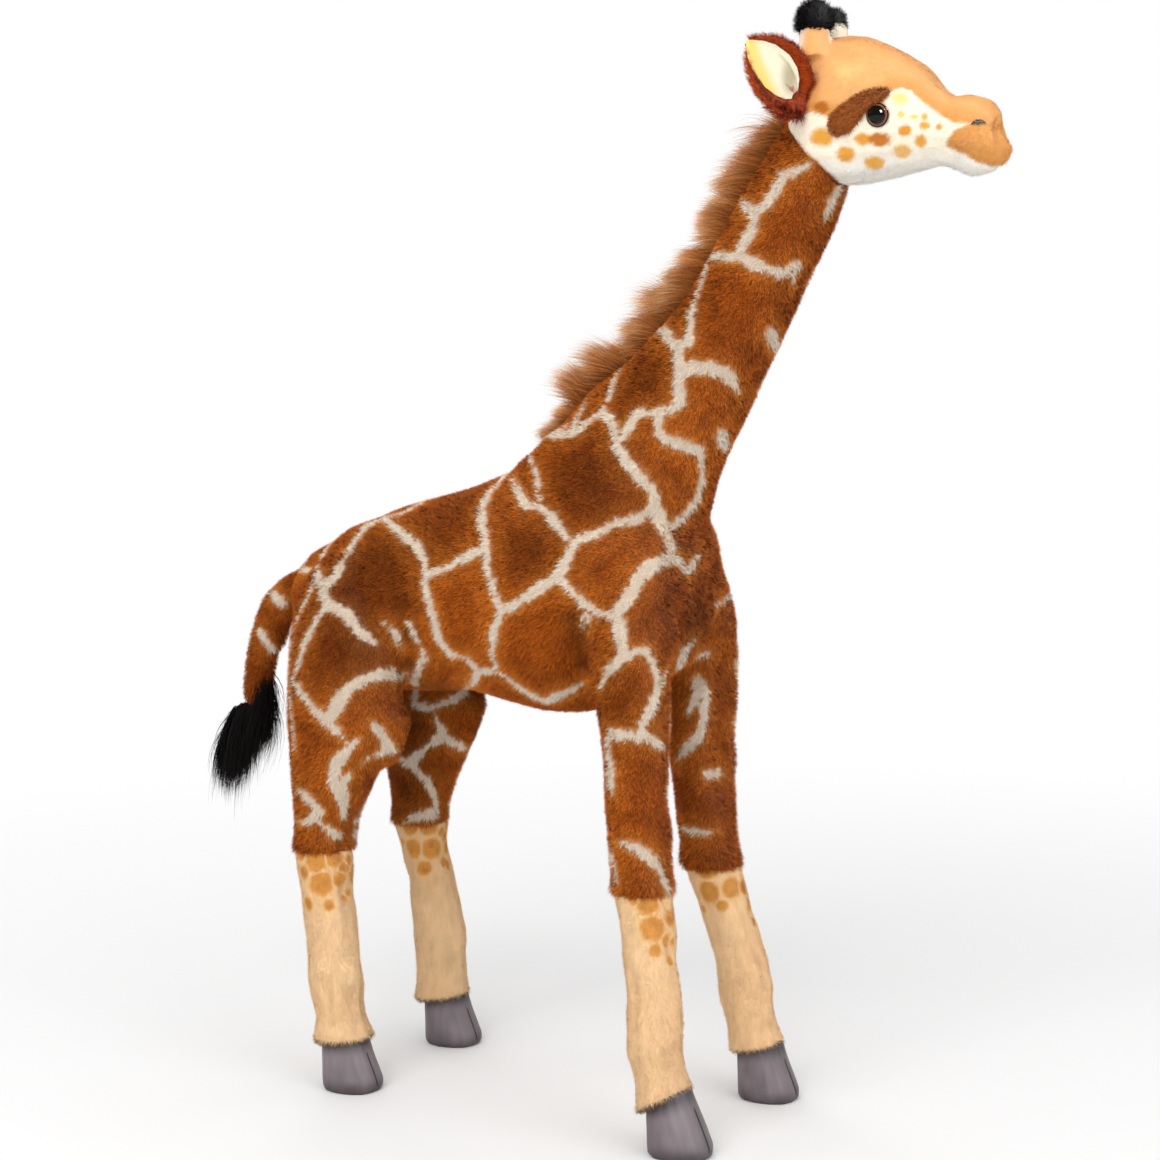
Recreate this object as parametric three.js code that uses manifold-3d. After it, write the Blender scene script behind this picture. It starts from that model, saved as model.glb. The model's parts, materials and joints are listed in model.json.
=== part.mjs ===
// Plush giraffe: a stuffed standing giraffe of long-pile plush with velour legs and face, satin hooves,
// plastic safety eyes and a wire frame inside. It faces +X, its left side is +Y and the floor is z = 0.
import * as THREE from 'three';
import { mergeVertices } from 'three/addons/utils/BufferGeometryUtils.js';
import Module from 'manifold-3d';

const wasm = await Module();
wasm.setup();

// Sizes in millimetres. Gaps and cuts first
const seamGap = 0.35; // between two sewn pieces
const turningGap = 0.6; // between a piece and the neighbour that it turns beside
const cutOverrun = 12; // how far a cut runs past the face that it opens
const weldDistance = 0.01; // points nearer than this are one point

// Torso
const torsoLength = 315;
const torsoHeight = 168;
const torsoWidth = 132;
const rumpToHindHip = 66; // from the back of the rump to the line of the hind hips
const hipToTorsoMiddle = 38;

// Legs: heights stack up from the floor, so each leg stands on it
const hoofHeight = 33;
const hindHipX = -137;
const hindHipSpread = 94;
const hindSplay = 14;
const hindReach = 11; // how far the hoof stands ahead of the hip
const hindSleeveLength = 129;
const hindUpperLength = 138;
const hindThighDepth = 88;
const hindThighWidth = 62;
const hindThighCap = 20;
const hindAnkleDepth = 39;
const hindAnkleWidth = 37;
const hipToShoulder = 227;
const frontHipSpread = 91;
const frontSplay = 18;
const frontReach = 35;
const frontSleeveLength = 125;
const frontUpperLength = 132;
const frontThighDepth = 60;
const frontThighWidth = 50;
const frontThighCap = 16;
const frontAnkleDepth = 37;
const frontAnkleWidth = 35;

// Hooves
const hoofLength = 44;
const hoofWidth = 37;
const solePlateLength = 30;
const solePlateWidth = 24;
const solePlateThickness = 1.6;
const solePlateHeight = 4;

// Neck and mane
const shoulderToNeck = 60; // from the line of the shoulders back to the foot of the neck
const neckFootRise = 14; // from the middle line of the torso up to the foot of the neck
const neckRun = 156;
const neckRise = 262;
const neckDepth = 124;
const neckWidth = 112;
const neckFootCap = 31;
const neckTopCap = 15;
const maneHeight = 27;
const maneWidth = 17;
const maneSunk = 3; // how deep the foot of the mane reaches into the neck's seam
const maneUpperCap = 9;
const maneLowerCap = 13;

// Head
const headLength = 138;
const headHeight = 90;
const headWidth = 64;
const headBehindNeck = 18; // how far the back of the head lies behind the neck's upper end
const headAboveNeck = 21;
const headPivotAhead = 9; // of the neck's upper end
const jawLength = 80;
const jawHeight = 15;
const jawWidth = 38;
const jawBack = 47; // from the back of the head to the back of the jaw
const jawDrop = 35;
const jawBackCap = 7;
const jawFrontCap = 6;
const eyeDiameter = 14;
const eyeBulge = 5;
const eyeRimThickness = 1.2;
const shankDiameter = 4.5;
const shankLength = 13;
const shankRib = 0.5;
const shankRibs = 3;
const washerDiameter = 15;
const washerThickness = 1.8;
const washerDepth = 7; // from the eye's rim to the washer
const eyeSink = 1.6; // how deep the rim lies in the fabric
const browWidth = 12;
const browThickness = 7;
const ossiconeHeight = 24;
const ossiconeSunk = 8; // the part of an ossicone below the head's skin
const ossiconeWidth = 25;
const ossiconeCap = 4;
const tuftHeight = 20;
const tuftOverlap = 7; // how far a tuft comes down over its ossicone
const tuftWidth = 23;
const tuftFootCap = 3;
const tuftTopCap = 6;

// Ears
const earLength = 56;
const earWidth = 42;
const earThickness = 4;
const liningThickness = 1.2;

// Tail
const tailAboveMiddle = 1;
const tailRootInset = 7; // from the rump forward to the joint of the tail
const tailRootCap = 10;
const tailEndCap = 5;
const tailRun = 57;
const tailDrop = 92;
const tailThickness = 29;
const tailTuftRun = 31;
const tailTuftDrop = 72;
const tailTuftWidth = 37;
const tailTuftTip = 3;

// Wire frame
const wireDiameter = 2.6;
const channelRun = 80; // how far a wire's channel runs on past its upper end, out through the skin

// How far each joint turns from rest, in degrees
const neckLimits = [-8, 10];
const headLimits = [-10, 14];
const earLimits = [-15, 15];
const tailLimits = [-12, 35];
const legLimits = [-5, 5];

// Facets
const bigAround = 18;
const limbAround = 12;
const smallAround = 8;
const wireSides = 6;
const wireSteps = 6;
const capRings = 3;
const latheSides = 10;

// Outlines. Each row is a section: the share of the run along the first axis, the share of the rise,
// then the shares of the full depth and of the full width
const torsoShares = [
  [0.057, -0.06, 0.42, 0.58],
  [0.135, -0.095, 0.61, 0.79],
  [0.27, -0.06, 0.76, 0.88],
  [0.45, -0.008, 0.82, 0.94],
  [0.638, 0.02, 1, 1],
  [0.796, 0.03, 0.93, 0.97],
  [0.92, 0.05, 0.7, 0.82],
];
const neckShares = [
  [0, 0, 1, 0.95],
  [0.1, 0.15, 0.99, 0.98],
  [0.225, 0.29, 0.89, 0.82],
  [0.43, 0.44, 0.68, 0.65],
  [0.625, 0.6, 0.55, 0.56],
  [0.79, 0.77, 0.51, 0.52],
  [0.91, 0.9, 0.48, 0.48],
  [1, 1, 0.4, 0.43],
];
const headShares = [
  [0.087, 0.13, 0.64, 0.69],
  [0.196, 0.05, 0.88, 0.91],
  [0.32, 0, 0.98, 1],
  [0.45, -0.03, 0.89, 1],
  [0.594, -0.078, 0.71, 0.88],
  [0.73, -0.15, 0.5, 0.7],
  [0.85, -0.2, 0.44, 0.66],
  [0.935, -0.24, 0.38, 0.54],
];
const jawShares = [
  [0, 0, 0.93, 1],
  [0.25, 0.2, 0.93, 0.95],
  [0.45, 0.45, 0.93, 0.87],
  [0.68, 0.3, 1, 0.78],
  [0.85, 0, 0.93, 0.66],
];
// Leg rows: height above the seam, reach and splay from the hip to the hoof, then depth and width
const hindUpperShares = [
  [1.33, -0.5, -0.3, 0.62, 0.6],
  [1.16, -0.2, -0.07, 0.88, 0.86],
  [0.97, 0, 0, 1, 1],
  [0.72, 0.09, 0.2, 1, 1],
  [0.48, -0.18, 0.42, 0.88, 0.9],
  [0.24, -0.75, 0.6, 0.64, 0.77],
  [0, -1.15, 0.7, 0.48, 0.62],
];
const frontUpperShares = [
  [1.42, -0.35, -0.3, 0.74, 0.72],
  [1.22, -0.25, -0.1, 0.92, 0.92],
  [1, -0.15, 0, 0.98, 0.98],
  [0.73, -0.08, 0, 0.84, 0.9],
  [0.44, -0.04, 0.03, 0.74, 0.82],
  [0.2, 0, 0.06, 0.69, 0.79],
  [0, 0.06, 0.125, 0.65, 0.74],
];
// Sleeve rows: height above the hem, then as above with the ankle's depth and width
const hindSleeveShares = [
  [1, -1.15, 0.7, 1.07, 1.04],
  [0.81, -0.9, 0.8, 0.95, 0.97],
  [0.5, -0.36, 0.93, 0.94, 0.95],
  [0.29, -0.09, 0.95, 1, 1.02],
  [0, 0.42, 0.9, 1.05, 1.06],
];
const frontSleeveShares = [
  [1, 0.06, 0.125, 1.05, 1.04],
  [0.72, 0.25, 0.35, 0.99, 1],
  [0.47, 0.45, 0.7, 0.94, 0.98],
  [0.25, 0.54, 0.98, 1.05, 1.05],
  [0, 0.8, 1, 1.03, 1.03],
];
// Hoof rows: height, the share of its length that the section stands ahead, then length and width
const hoofShares = [
  [1, -0.1, 0.83, 0.87],
  [0.7, -0.07, 0.9, 0.93],
  [0.29, -0.01, 0.98, 0.99],
  [0.09, 0, 1, 1],
  [-0.02, 0, 0.9, 0.9],
];
// Tail rows and tuft rows: run, drop, depth, width
const tailShares = [
  [0, 0, 0.84, 0.84],
  [0.42, 0.12, 0.93, 0.93],
  [0.7, 0.32, 1, 1],
  [0.9, 0.62, 0.86, 0.86],
  [1, 0.98, 0.7, 0.7],
];
const tailTuftShares = [
  [0, 0, 0.5, 0.5],
  [0.25, 0.2, 0.95, 0.85],
  [0.5, 0.45, 1, 0.85],
  [0.78, 0.75, 0.6, 0.5],
  [1, 1, 0.16, 0.16],
];
// Ossicone and tuft rows: height, lean back, depth, width
const ossiconeShares = [
  [0, 0, 1.1, 1.1],
  [0.4, 0.04, 0.86, 0.86],
  [1, 0.05, 0.68, 0.68],
];
const tuftShares = [
  [0, 0, 0.72, 0.72],
  [0.35, 0.05, 1, 1],
  [0.7, 0.05, 0.86, 0.86],
];
// Mane rows: place along the neck's back, height and width
const maneShares = [
  [0.235, 0.5, 0.8],
  [0.3, 0.85, 1],
  [0.45, 1, 1],
  [0.7, 1, 1],
  [0.86, 1, 0.95],
  [0.98, 0.9, 0.85],
];
// Ear rows: place along the ear, width, and curl as a share of a full turn
const earShares = [
  [0, 0.3, 0.13],
  [0.2, 0.76, 0.16],
  [0.45, 1, 0.14],
  [0.7, 0.84, 0.11],
  [0.88, 0.48, 0.09],
  [1, 0.08, 0.07],
];
const liningShares = [
  [0.12, 0.3, 0.13],
  [0.25, 0.62, 0.15],
  [0.45, 0.78, 0.14],
  [0.7, 0.62, 0.11],
  [0.85, 0.3, 0.09],
  [0.93, 0.06, 0.08],
];
// Places along the forms that the wires pass through
const spineWireShares = [0.04, 0.5, 0.96];
const neckWireShares = [0.34, 0.5, 0.66, 0.82, 0.93];
const tailWireShares = [0.2, 0.45, 0.7, 0.92];
const upperLegWireShares = [0.42, 0.6, 0.85];
const sleeveWireShares = [0.3, 0.6, 0.9];
// The parts of a joint's range at which a neighbour is cut away: the neck's foot meets the most of it
const sweepShares = [1];
const neckSweepShares = [0.2, 0.45, 0.7, 1];
// The cleft in a hoof's toe: its depth as a share of the half length, and the power that narrows it
const cleftShare = 0.16;
const cleftPower = 40;
// Directions of an ear, left side: along it, and the way its cup faces
const earAlongShares = [-0.36, 0.68, 0.62];
const earFacingShares = [0.818, 0.562, -0.123];
// Places on the head: share along it, then height above the side as a share of half a turn
const eyePlaceShares = [0.471, -0.04];
const earPlaceShares = [0.075, -0.1];
const ossiconePlaceShares = [0.1, 0.315];
const browShares = [
  [0.218, -0.158, 0.75],
  [0.294, -0.087, 1],
  [0.365, -0.011, 0.95],
  [0.457, 0.057, 0.8],
  [0.543, 0.088, 0.4],
];

const v = (x, y, z) => new THREE.Vector3(x, y, z);
const leftward = v(0, 1, 0);
const downward = v(0, 0, -1);
const forward = v(1, 0, 0);
const halfTurn = Math.PI;
const quarterTurn = Math.PI / 2;
const fullTurn = Math.PI * 2;
const wireRadius = wireDiameter / 2;
const channelRadius = wireRadius + seamGap;

// A closed skin over rings with equal counts of points, with a point at each end
function skinOver(rings, firstTip, lastTip) {
  const around = rings[0].length;
  const points = [firstTip, ...rings.flat(), lastTip];
  const at = (ring, step) => 1 + ring * around + (step % around);
  const faces = [];
  for (let step = 0; step < around; step += 1) {
    faces.push(0, at(0, step + 1), at(0, step));
    faces.push(points.length - 1, at(rings.length - 1, step), at(rings.length - 1, step + 1));
    for (let ring = 0; ring < rings.length - 1; ring += 1) {
      faces.push(at(ring, step), at(ring, step + 1), at(ring + 1, step + 1));
      faces.push(at(ring, step), at(ring + 1, step + 1), at(ring + 1, step));
    }
  }
  const geometry = new THREE.BufferGeometry().setFromPoints(points);
  geometry.setIndex(faces);
  return geometry;
}

// A stuffed form: oval sections strung along a curve, with rounded or flat ends. Each station holds
// the section's middle, its half depth in the plane of the curve and its half width across it. The
// sections stand square to the curve, or square to one direction where that is given
function makeForm({ stations, along, around, square, firstCap = 0, lastCap = 0, notchShare = 0 }) {
  const middles = new THREE.CatmullRomCurve3(stations.map((s) => s.middle), false, 'catmullrom');
  const sizes = new THREE.CatmullRomCurve3(
    stations.map((s) => v(s.depth, s.width, 0)), false, 'catmullrom');
  const frame = (t) => {
    const ahead = square ? square.clone() : middles.getTangent(t);
    const side = leftward.clone().addScaledVector(ahead, -leftward.dot(ahead)).normalize();
    const out = ahead.clone().cross(side);
    return { middle: middles.getPoint(t), size: sizes.getPoint(t), ahead, side, out };
  };
  const ringAt = (t, grow, shrink, shift) => {
    const { middle, size, ahead, side, out } = frame(t);
    return Array.from({ length: around }, (_, step) => {
      const angle = (fullTurn * step) / around;
      const notch = 1 - notchShare * Math.max(0, Math.sin(angle)) ** cleftPower;
      return middle.clone()
        .addScaledVector(ahead, shift)
        .addScaledVector(side, (size.y + grow) * shrink * Math.cos(angle))
        .addScaledVector(out, (size.x + grow) * shrink * Math.sin(angle) * notch);
    });
  };
  const skin = (grow = 0) => {
    const rings = [];
    for (let cap = 1; cap < capRings && firstCap > 0; cap += 1) {
      const turn = (quarterTurn * cap) / capRings;
      rings.push(ringAt(0, grow, Math.sin(turn), -(firstCap + grow) * Math.cos(turn)));
    }
    for (let step = 0; step <= along; step += 1) {
      rings.push(ringAt(step / along, grow, 1, 0));
    }
    for (let cap = capRings - 1; cap > 0 && lastCap > 0; cap -= 1) {
      const turn = (quarterTurn * cap) / capRings;
      rings.push(ringAt(1, grow, Math.sin(turn), (lastCap + grow) * Math.cos(turn)));
    }
    const first = frame(0);
    const last = frame(1);
    const firstTip = first.middle.addScaledVector(first.ahead, firstCap > 0 ? -firstCap - grow : 0);
    const lastTip = last.middle.addScaledVector(last.ahead, lastCap > 0 ? lastCap + grow : 0);
    return skinOver(rings, firstTip, lastTip);
  };
  // A point on the skin and the way out of it: turn 0 is the left side, a quarter turn is outward
  const onSkin = (t, angle, lift = 0) => {
    const { middle, size, side, out } = frame(t);
    const normal = side.clone().multiplyScalar(Math.cos(angle) / size.y)
      .addScaledVector(out, Math.sin(angle) / size.x).normalize();
    return {
      point: middle.addScaledVector(side, size.y * Math.cos(angle))
        .addScaledVector(out, size.x * Math.sin(angle))
        .addScaledVector(normal, lift),
      normal,
    };
  };
  return { skin, onSkin, frame };
}

// Points that lie within the weld distance become one, and faces that this closes up are left out
function welded(geometry) {
  const merged = mergeVertices(geometry, weldDistance);
  const corners = Array.from(merged.index.array);
  const kept = [];
  for (let i = 0; i < corners.length; i += 3) {
    const [a, b, c] = corners.slice(i, i + 3);
    if (a !== b && b !== c && c !== a) kept.push(a, b, c);
  }
  return merged.setIndex(kept);
}

// Solids for cutting and joining
function toSolid(geometry) {
  const bare = geometry.clone();
  bare.deleteAttribute('normal');
  bare.deleteAttribute('uv');
  const closed = welded(bare);
  return new wasm.Manifold(new wasm.Mesh({
    numProp: 3,
    vertProperties: new Float32Array(closed.attributes.position.array),
    triVerts: new Uint32Array(closed.index.array),
  }));
}

function toGeometry(solid) {
  const mesh = solid.getMesh();
  const geometry = new THREE.BufferGeometry();
  geometry.setAttribute('position', new THREE.BufferAttribute(new Float32Array(mesh.vertProperties), 3));
  geometry.setIndex(Array.from(mesh.triVerts));
  const closed = welded(geometry);
  closed.computeVertexNormals();
  return closed;
}

// The largest part of a solid that cuts may have left in several
function largestOf(solid) {
  return solid.decompose().reduce((best, one) => (one.volume() > best.volume() ? one : best));
}

function cut(solid, ...tools) {
  return largestOf(tools.reduce((rest, tool) => rest.subtract(tool), solid));
}

function turnedAbout(geometry, pivot, axis, degrees) {
  const turned = geometry.clone();
  turned.translate(-pivot.x, -pivot.y, -pivot.z);
  turned.applyMatrix4(new THREE.Matrix4().makeRotationAxis(axis, THREE.MathUtils.degToRad(degrees)));
  return turned.translate(pivot.x, pivot.y, pivot.z);
}

// What a still neighbour takes up, seen from a piece that turns between its limits beside it
function sweepPast(geometry, pivot, axis, limits, shares = sweepShares) {
  const poses = shares.flatMap((share) => limits.map((limit) => share * limit));
  return [0, ...poses].map((degrees) => toSolid(turnedAbout(geometry, pivot, axis, -degrees)))
    .reduce((all, one) => all.add(one));
}

// A round wire along a curve through points, run on straight past its ends where that is asked for
function wireAlong(points, radius, before = 0, after = 0) {
  const curve = new THREE.CatmullRomCurve3(points);
  const ringAt = (share, shift) => {
    const ahead = curve.getTangentAt(share);
    const side = leftward.clone().addScaledVector(ahead, -leftward.dot(ahead)).normalize();
    const out = ahead.clone().cross(side);
    const middle = curve.getPointAt(share).addScaledVector(ahead, shift);
    const ring = Array.from({ length: wireSides }, (_, step) => {
      const angle = (fullTurn * step) / wireSides;
      return middle.clone()
        .addScaledVector(side, radius * Math.cos(angle))
        .addScaledVector(out, radius * Math.sin(angle));
    });
    return { middle, ring };
  };
  const sections = Array.from({ length: wireSteps + 1 }, (_, step) => ringAt(step / wireSteps, 0));
  if (before > 0) sections.unshift(ringAt(0, -before));
  if (after > 0) sections.push(ringAt(1, after));
  const rings = sections.map((section) => section.ring);
  return toSolid(skinOver(rings, sections[0].middle, sections[sections.length - 1].middle));
}

// The channel round a wire, which opens through the skin past the wire's first end
const channelAlong = (points) => wireAlong(points, channelRadius, channelRun, seamGap);

// Materials
const finish = (color, roughness) => new THREE.MeshStandardMaterial({ color, roughness, metalness: 0 });
const finishes = {
  plush: () => finish('#94501f', 0.95),
  velour: () => finish('#f0cf9f', 0.9),
  tan: () => finish('#e8b374', 0.9),
  ivory: () => finish('#efe6d4', 0.9),
  brow: () => finish('#8f5128', 0.95),
  rust: () => finish('#a34a28', 0.95),
  felt: () => finish('#f3e2b4', 0.9),
  black: () => finish('#17120f', 0.95),
  mane: () => finish('#b1763f', 0.95),
  satin: () => finish('#6c6367', 0.5),
  eye: () => finish('#120b08', 0.1),
  washer: () => finish('#e6e4df', 0.5),
  board: () => finish('#c9b490', 0.8),
  wire: () => new THREE.MeshStandardMaterial({ color: '#a9abad', roughness: 0.4, metalness: 1 }),
};

// Moving bodies: one group each, standing at its joint
const giraffe = new THREE.Group();
giraffe.name = 'giraffe';
const bodyOrigins = new Map();

function addBody(name, parent, pivot) {
  const group = new THREE.Group();
  group.name = name;
  const parentOrigin = parent ? bodyOrigins.get(parent) : v(0, 0, 0);
  group.position.copy(pivot).sub(parentOrigin);
  (parent ?? giraffe).add(group);
  bodyOrigins.set(group, pivot.clone());
  return group;
}

function addPiece(body, name, solid, material) {
  const origin = bodyOrigins.get(body);
  const mesh = new THREE.Mesh(toGeometry(solid).translate(-origin.x, -origin.y, -origin.z), material);
  mesh.name = name;
  body.add(mesh);
}

// Places that the pieces share
const hindHip = v(hindHipX, hindHipSpread / 2, hoofHeight + hindSleeveLength + hindUpperLength);
const frontHip = v(
  hindHipX + hipToShoulder, frontHipSpread / 2, hoofHeight + frontSleeveLength + frontUpperLength);
const rumpX = hindHip.x - rumpToHindHip;
const torsoMiddleZ = hindHip.z + hipToTorsoMiddle;
const neckFoot = v(frontHip.x - shoulderToNeck, 0, torsoMiddleZ + neckFootRise);
const neckTop = neckFoot.clone().add(v(neckRun, 0, neckRise));
const headBack = v(neckTop.x - headBehindNeck, 0, neckTop.z + headAboveNeck);

// Stuffed forms
const torsoForm = makeForm({
  stations: torsoShares.map(([run, rise, depth, width]) => ({
    middle: v(rumpX + run * torsoLength, 0, torsoMiddleZ + rise * torsoHeight),
    depth: (depth * torsoHeight) / 2,
    width: (width * torsoWidth) / 2,
  })),
  square: forward,
  along: 12,
  around: bigAround,
  firstCap: torsoShares[0][0] * torsoLength,
  lastCap: (1 - torsoShares[torsoShares.length - 1][0]) * torsoLength,
});

const neckForm = makeForm({
  stations: neckShares.map(([run, rise, depth, width]) => ({
    middle: v(neckFoot.x + run * neckRun, 0, neckFoot.z + rise * neckRise),
    depth: (depth * neckDepth) / 2,
    width: (width * neckWidth) / 2,
  })),
  along: 12,
  around: bigAround,
  firstCap: neckFootCap,
  lastCap: neckTopCap,
});

const headForm = makeForm({
  stations: headShares.map(([run, rise, depth, width]) => ({
    middle: v(headBack.x + run * headLength, 0, headBack.z + rise * headHeight),
    depth: (depth * headHeight) / 2,
    width: (width * headWidth) / 2,
  })),
  square: forward,
  along: 12,
  around: bigAround,
  firstCap: headShares[0][0] * headLength,
  lastCap: (1 - headShares[headShares.length - 1][0]) * headLength,
});

const jawForm = makeForm({
  stations: jawShares.map(([run, rise, depth, width]) => ({
    middle: v(headBack.x + jawBack + run * jawLength, 0, headBack.z - jawDrop + rise * jawHeight),
    depth: (depth * jawHeight) / 2,
    width: (width * jawWidth) / 2,
  })),
  square: forward,
  along: 6,
  around: smallAround,
  firstCap: jawBackCap,
  lastCap: jawFrontCap,
});

const tailRoot = v(rumpX + tailRootInset, 0, torsoMiddleZ + tailAboveMiddle);

const tailForm = makeForm({
  stations: tailShares.map(([run, drop, depth, width]) => ({
    middle: v(tailRoot.x - run * tailRun, 0, tailRoot.z - drop * tailDrop),
    depth: (depth * tailThickness) / 2,
    width: (width * tailThickness) / 2,
  })),
  along: 9,
  around: smallAround + 2,
  firstCap: tailRootCap,
  lastCap: tailEndCap,
});

const tailEnd = v(tailRoot.x - tailRun, 0, tailRoot.z - tailDrop);

const tailTuftForm = makeForm({
  stations: tailTuftShares.map(([run, drop, depth, width]) => ({
    middle: v(tailEnd.x - run * tailTuftRun, 0, tailEnd.z - drop * tailTuftDrop),
    depth: (depth * tailTuftWidth) / 2,
    width: (width * tailTuftWidth) / 2,
  })),
  along: 9,
  around: smallAround,
  lastCap: tailTuftTip,
});

// Joints
const neckPivot = neckFoot.clone();
const headPivot = v(neckTop.x + headPivotAhead, 0, headBack.z);
const tailPivot = tailRoot.clone();

const torsoBody = addBody('torso_body', null, v(0, 0, 0));
const neckBody = addBody('neck_body', torsoBody, neckPivot);
const headBody = addBody('head_body', neckBody, headPivot);
const tailBody = addBody('tail_body', torsoBody, tailPivot);

// Wires of the spine, neck and tail
const middlesOf = (form, shares) => shares.map((t) => form.frame(t).middle);
const spineLine = middlesOf(torsoForm, spineWireShares);
const neckLine = middlesOf(neckForm, neckWireShares);
const tailLine = middlesOf(tailForm, tailWireShares);

addPiece(torsoBody, 'spine_wire', wireAlong(spineLine, wireRadius), finishes.wire());
addPiece(neckBody, 'neck_wire', wireAlong(neckLine, wireRadius), finishes.wire());
addPiece(tailBody, 'tail_wire', wireAlong(tailLine, wireRadius), finishes.wire());

const torsoSolid = cut(toSolid(torsoForm.skin()), channelAlong(spineLine));
addPiece(torsoBody, 'torso', torsoSolid, finishes.plush());

// Neck with its mane
const torsoPastNeck = sweepPast(
  torsoForm.skin(turningGap), neckPivot, leftward, neckLimits, neckSweepShares);
const headPastNeck = sweepPast(
  headForm.skin(turningGap), headPivot, leftward, headLimits.map((limit) => -limit));
const neckSolid = cut(toSolid(neckForm.skin()), torsoPastNeck, headPastNeck, channelAlong(neckLine));
addPiece(neckBody, 'neck', neckSolid, finishes.plush());

const maneForm = makeForm({
  stations: maneShares.map(([along, height, width]) => ({
    middle: neckForm.onSkin(along, quarterTurn, (height * maneHeight - maneSunk) / 2).point,
    depth: (height * maneHeight + maneSunk) / 2,
    width: (width * maneWidth) / 2,
  })),
  along: 12,
  around: smallAround,
  firstCap: maneLowerCap,
  lastCap: maneUpperCap,
});
const maneSolid = cut(
  toSolid(maneForm.skin()), toSolid(neckForm.skin(seamGap)), torsoPastNeck, headPastNeck);
addPiece(neckBody, 'mane', maneSolid, finishes.mane());

// Tail
const torsoPastTail = sweepPast(torsoForm.skin(turningGap), tailPivot, leftward, tailLimits);
const tailSolid = cut(toSolid(tailForm.skin()), torsoPastTail, channelAlong(tailLine));
addPiece(tailBody, 'tail', tailSolid, finishes.plush());
const tuftRound = cut(toSolid(tailTuftForm.skin()), toSolid(tailForm.skin(seamGap)));
addPiece(tailBody, 'tail_tuft', tuftRound, finishes.black());

// A turned piece: heights along its axis are measured from a point, the way of a direction
function turnedPiece(profile, point, direction) {
  const geometry = new THREE.LatheGeometry(profile.map(([r, h]) => new THREE.Vector2(r, h)), latheSides);
  geometry.applyQuaternion(new THREE.Quaternion().setFromUnitVectors(leftward, direction));
  return toSolid(geometry.translate(point.x, point.y, point.z));
}

// Eye, washer and the pocket that they sit in: height zero is the back of the eye's rim
const eyeRadius = eyeDiameter / 2;
const shankRadius = shankDiameter / 2;
const washerRadius = washerDiameter / 2;
const pocketRadius = shankRadius + shankRib + seamGap;

function eyeProfile() {
  const facets = capRings + 1;
  const dome = Array.from({ length: facets }, (_, step) => {
    const turn = (quarterTurn * step) / facets;
    return [eyeRadius * Math.cos(turn), eyeRimThickness + eyeBulge * Math.sin(turn)];
  });
  const ribs = Array.from({ length: shankRibs }, (_, rib) => {
    const height = -shankLength + (rib + 1) * washerThickness;
    const crest = shankRadius + shankRib;
    return [[shankRadius, height - shankRib], [crest, height], [shankRadius, height + shankRib]];
  }).flat();
  return [[0, -shankLength], [shankRadius - shankRib, -shankLength], ...ribs, [shankRadius, 0],
    [eyeRadius, 0], ...dome, [0, eyeRimThickness + eyeBulge]];
}

function washerProfile() {
  const back = -washerDepth - washerThickness;
  return [[pocketRadius, back], [washerRadius, back], [washerRadius, -washerDepth],
    [pocketRadius, -washerDepth], [pocketRadius, back]];
}

function eyePocketProfile() {
  const washerBack = -washerDepth - washerThickness - seamGap;
  const washerFront = -washerDepth + seamGap;
  const rim = eyeRadius + seamGap;
  return [[0, -shankLength - seamGap], [pocketRadius, -shankLength - seamGap], [pocketRadius, washerBack],
    [washerRadius + seamGap, washerBack], [washerRadius + seamGap, washerFront], [pocketRadius, washerFront],
    [pocketRadius, -seamGap], [rim, -seamGap], [rim, cutOverrun], [0, cutOverrun]];
}

// An ear layer: a leaf-shaped sheet, curled about its length, lifted off the ear's middle surface
function earLayer({ root, side, rows, lift, thickness, rowCount, acrossCount }) {
  const along = v(earAlongShares[0], side * earAlongShares[1], earAlongShares[2]).normalize();
  const facing = v(earFacingShares[0], side * earFacingShares[1], earFacingShares[2]);
  facing.addScaledVector(along, -facing.dot(along)).normalize();
  const across = along.clone().cross(facing);
  const profile = new THREE.CatmullRomCurve3(rows.map((row) => v(...row)), false, 'catmullrom');
  const layer = (height) => Array.from({ length: rowCount + 1 }, (_, row) => {
    const { x: place, y: width, z: curlShare } = profile.getPoint(row / rowCount);
    const radius = (width * earWidth) / 2 / (curlShare * fullTurn);
    return Array.from({ length: acrossCount + 1 }, (__, step) => {
      const angle = (2 * (step / acrossCount) - 1) * curlShare * fullTurn;
      return root.clone().addScaledVector(along, place * earLength)
        .addScaledVector(across, (radius - height) * Math.sin(angle))
        .addScaledVector(facing, radius - (radius - height) * Math.cos(angle));
    });
  });
  const back = layer(lift - thickness / 2);
  const front = layer(lift + thickness / 2);
  // One ring round the sheet per row: across the front, then home across the back
  const rings = front.map((points, row) => [...points, ...back[row].slice().reverse()]);
  const middleOf = (ring) => ring.reduce((sum, p) => sum.add(p), v(0, 0, 0)).divideScalar(ring.length);
  return { geometry: skinOver(rings, middleOf(rings[0]), middleOf(rings[rowCount])), across };
}

const headPast = toSolid(headForm.skin(seamGap));
let headSolid = toSolid(headForm.skin()).subtract(toSolid(jawForm.skin(seamGap)));
addPiece(headBody, 'chin', toSolid(jawForm.skin()), finishes.ivory());

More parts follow.
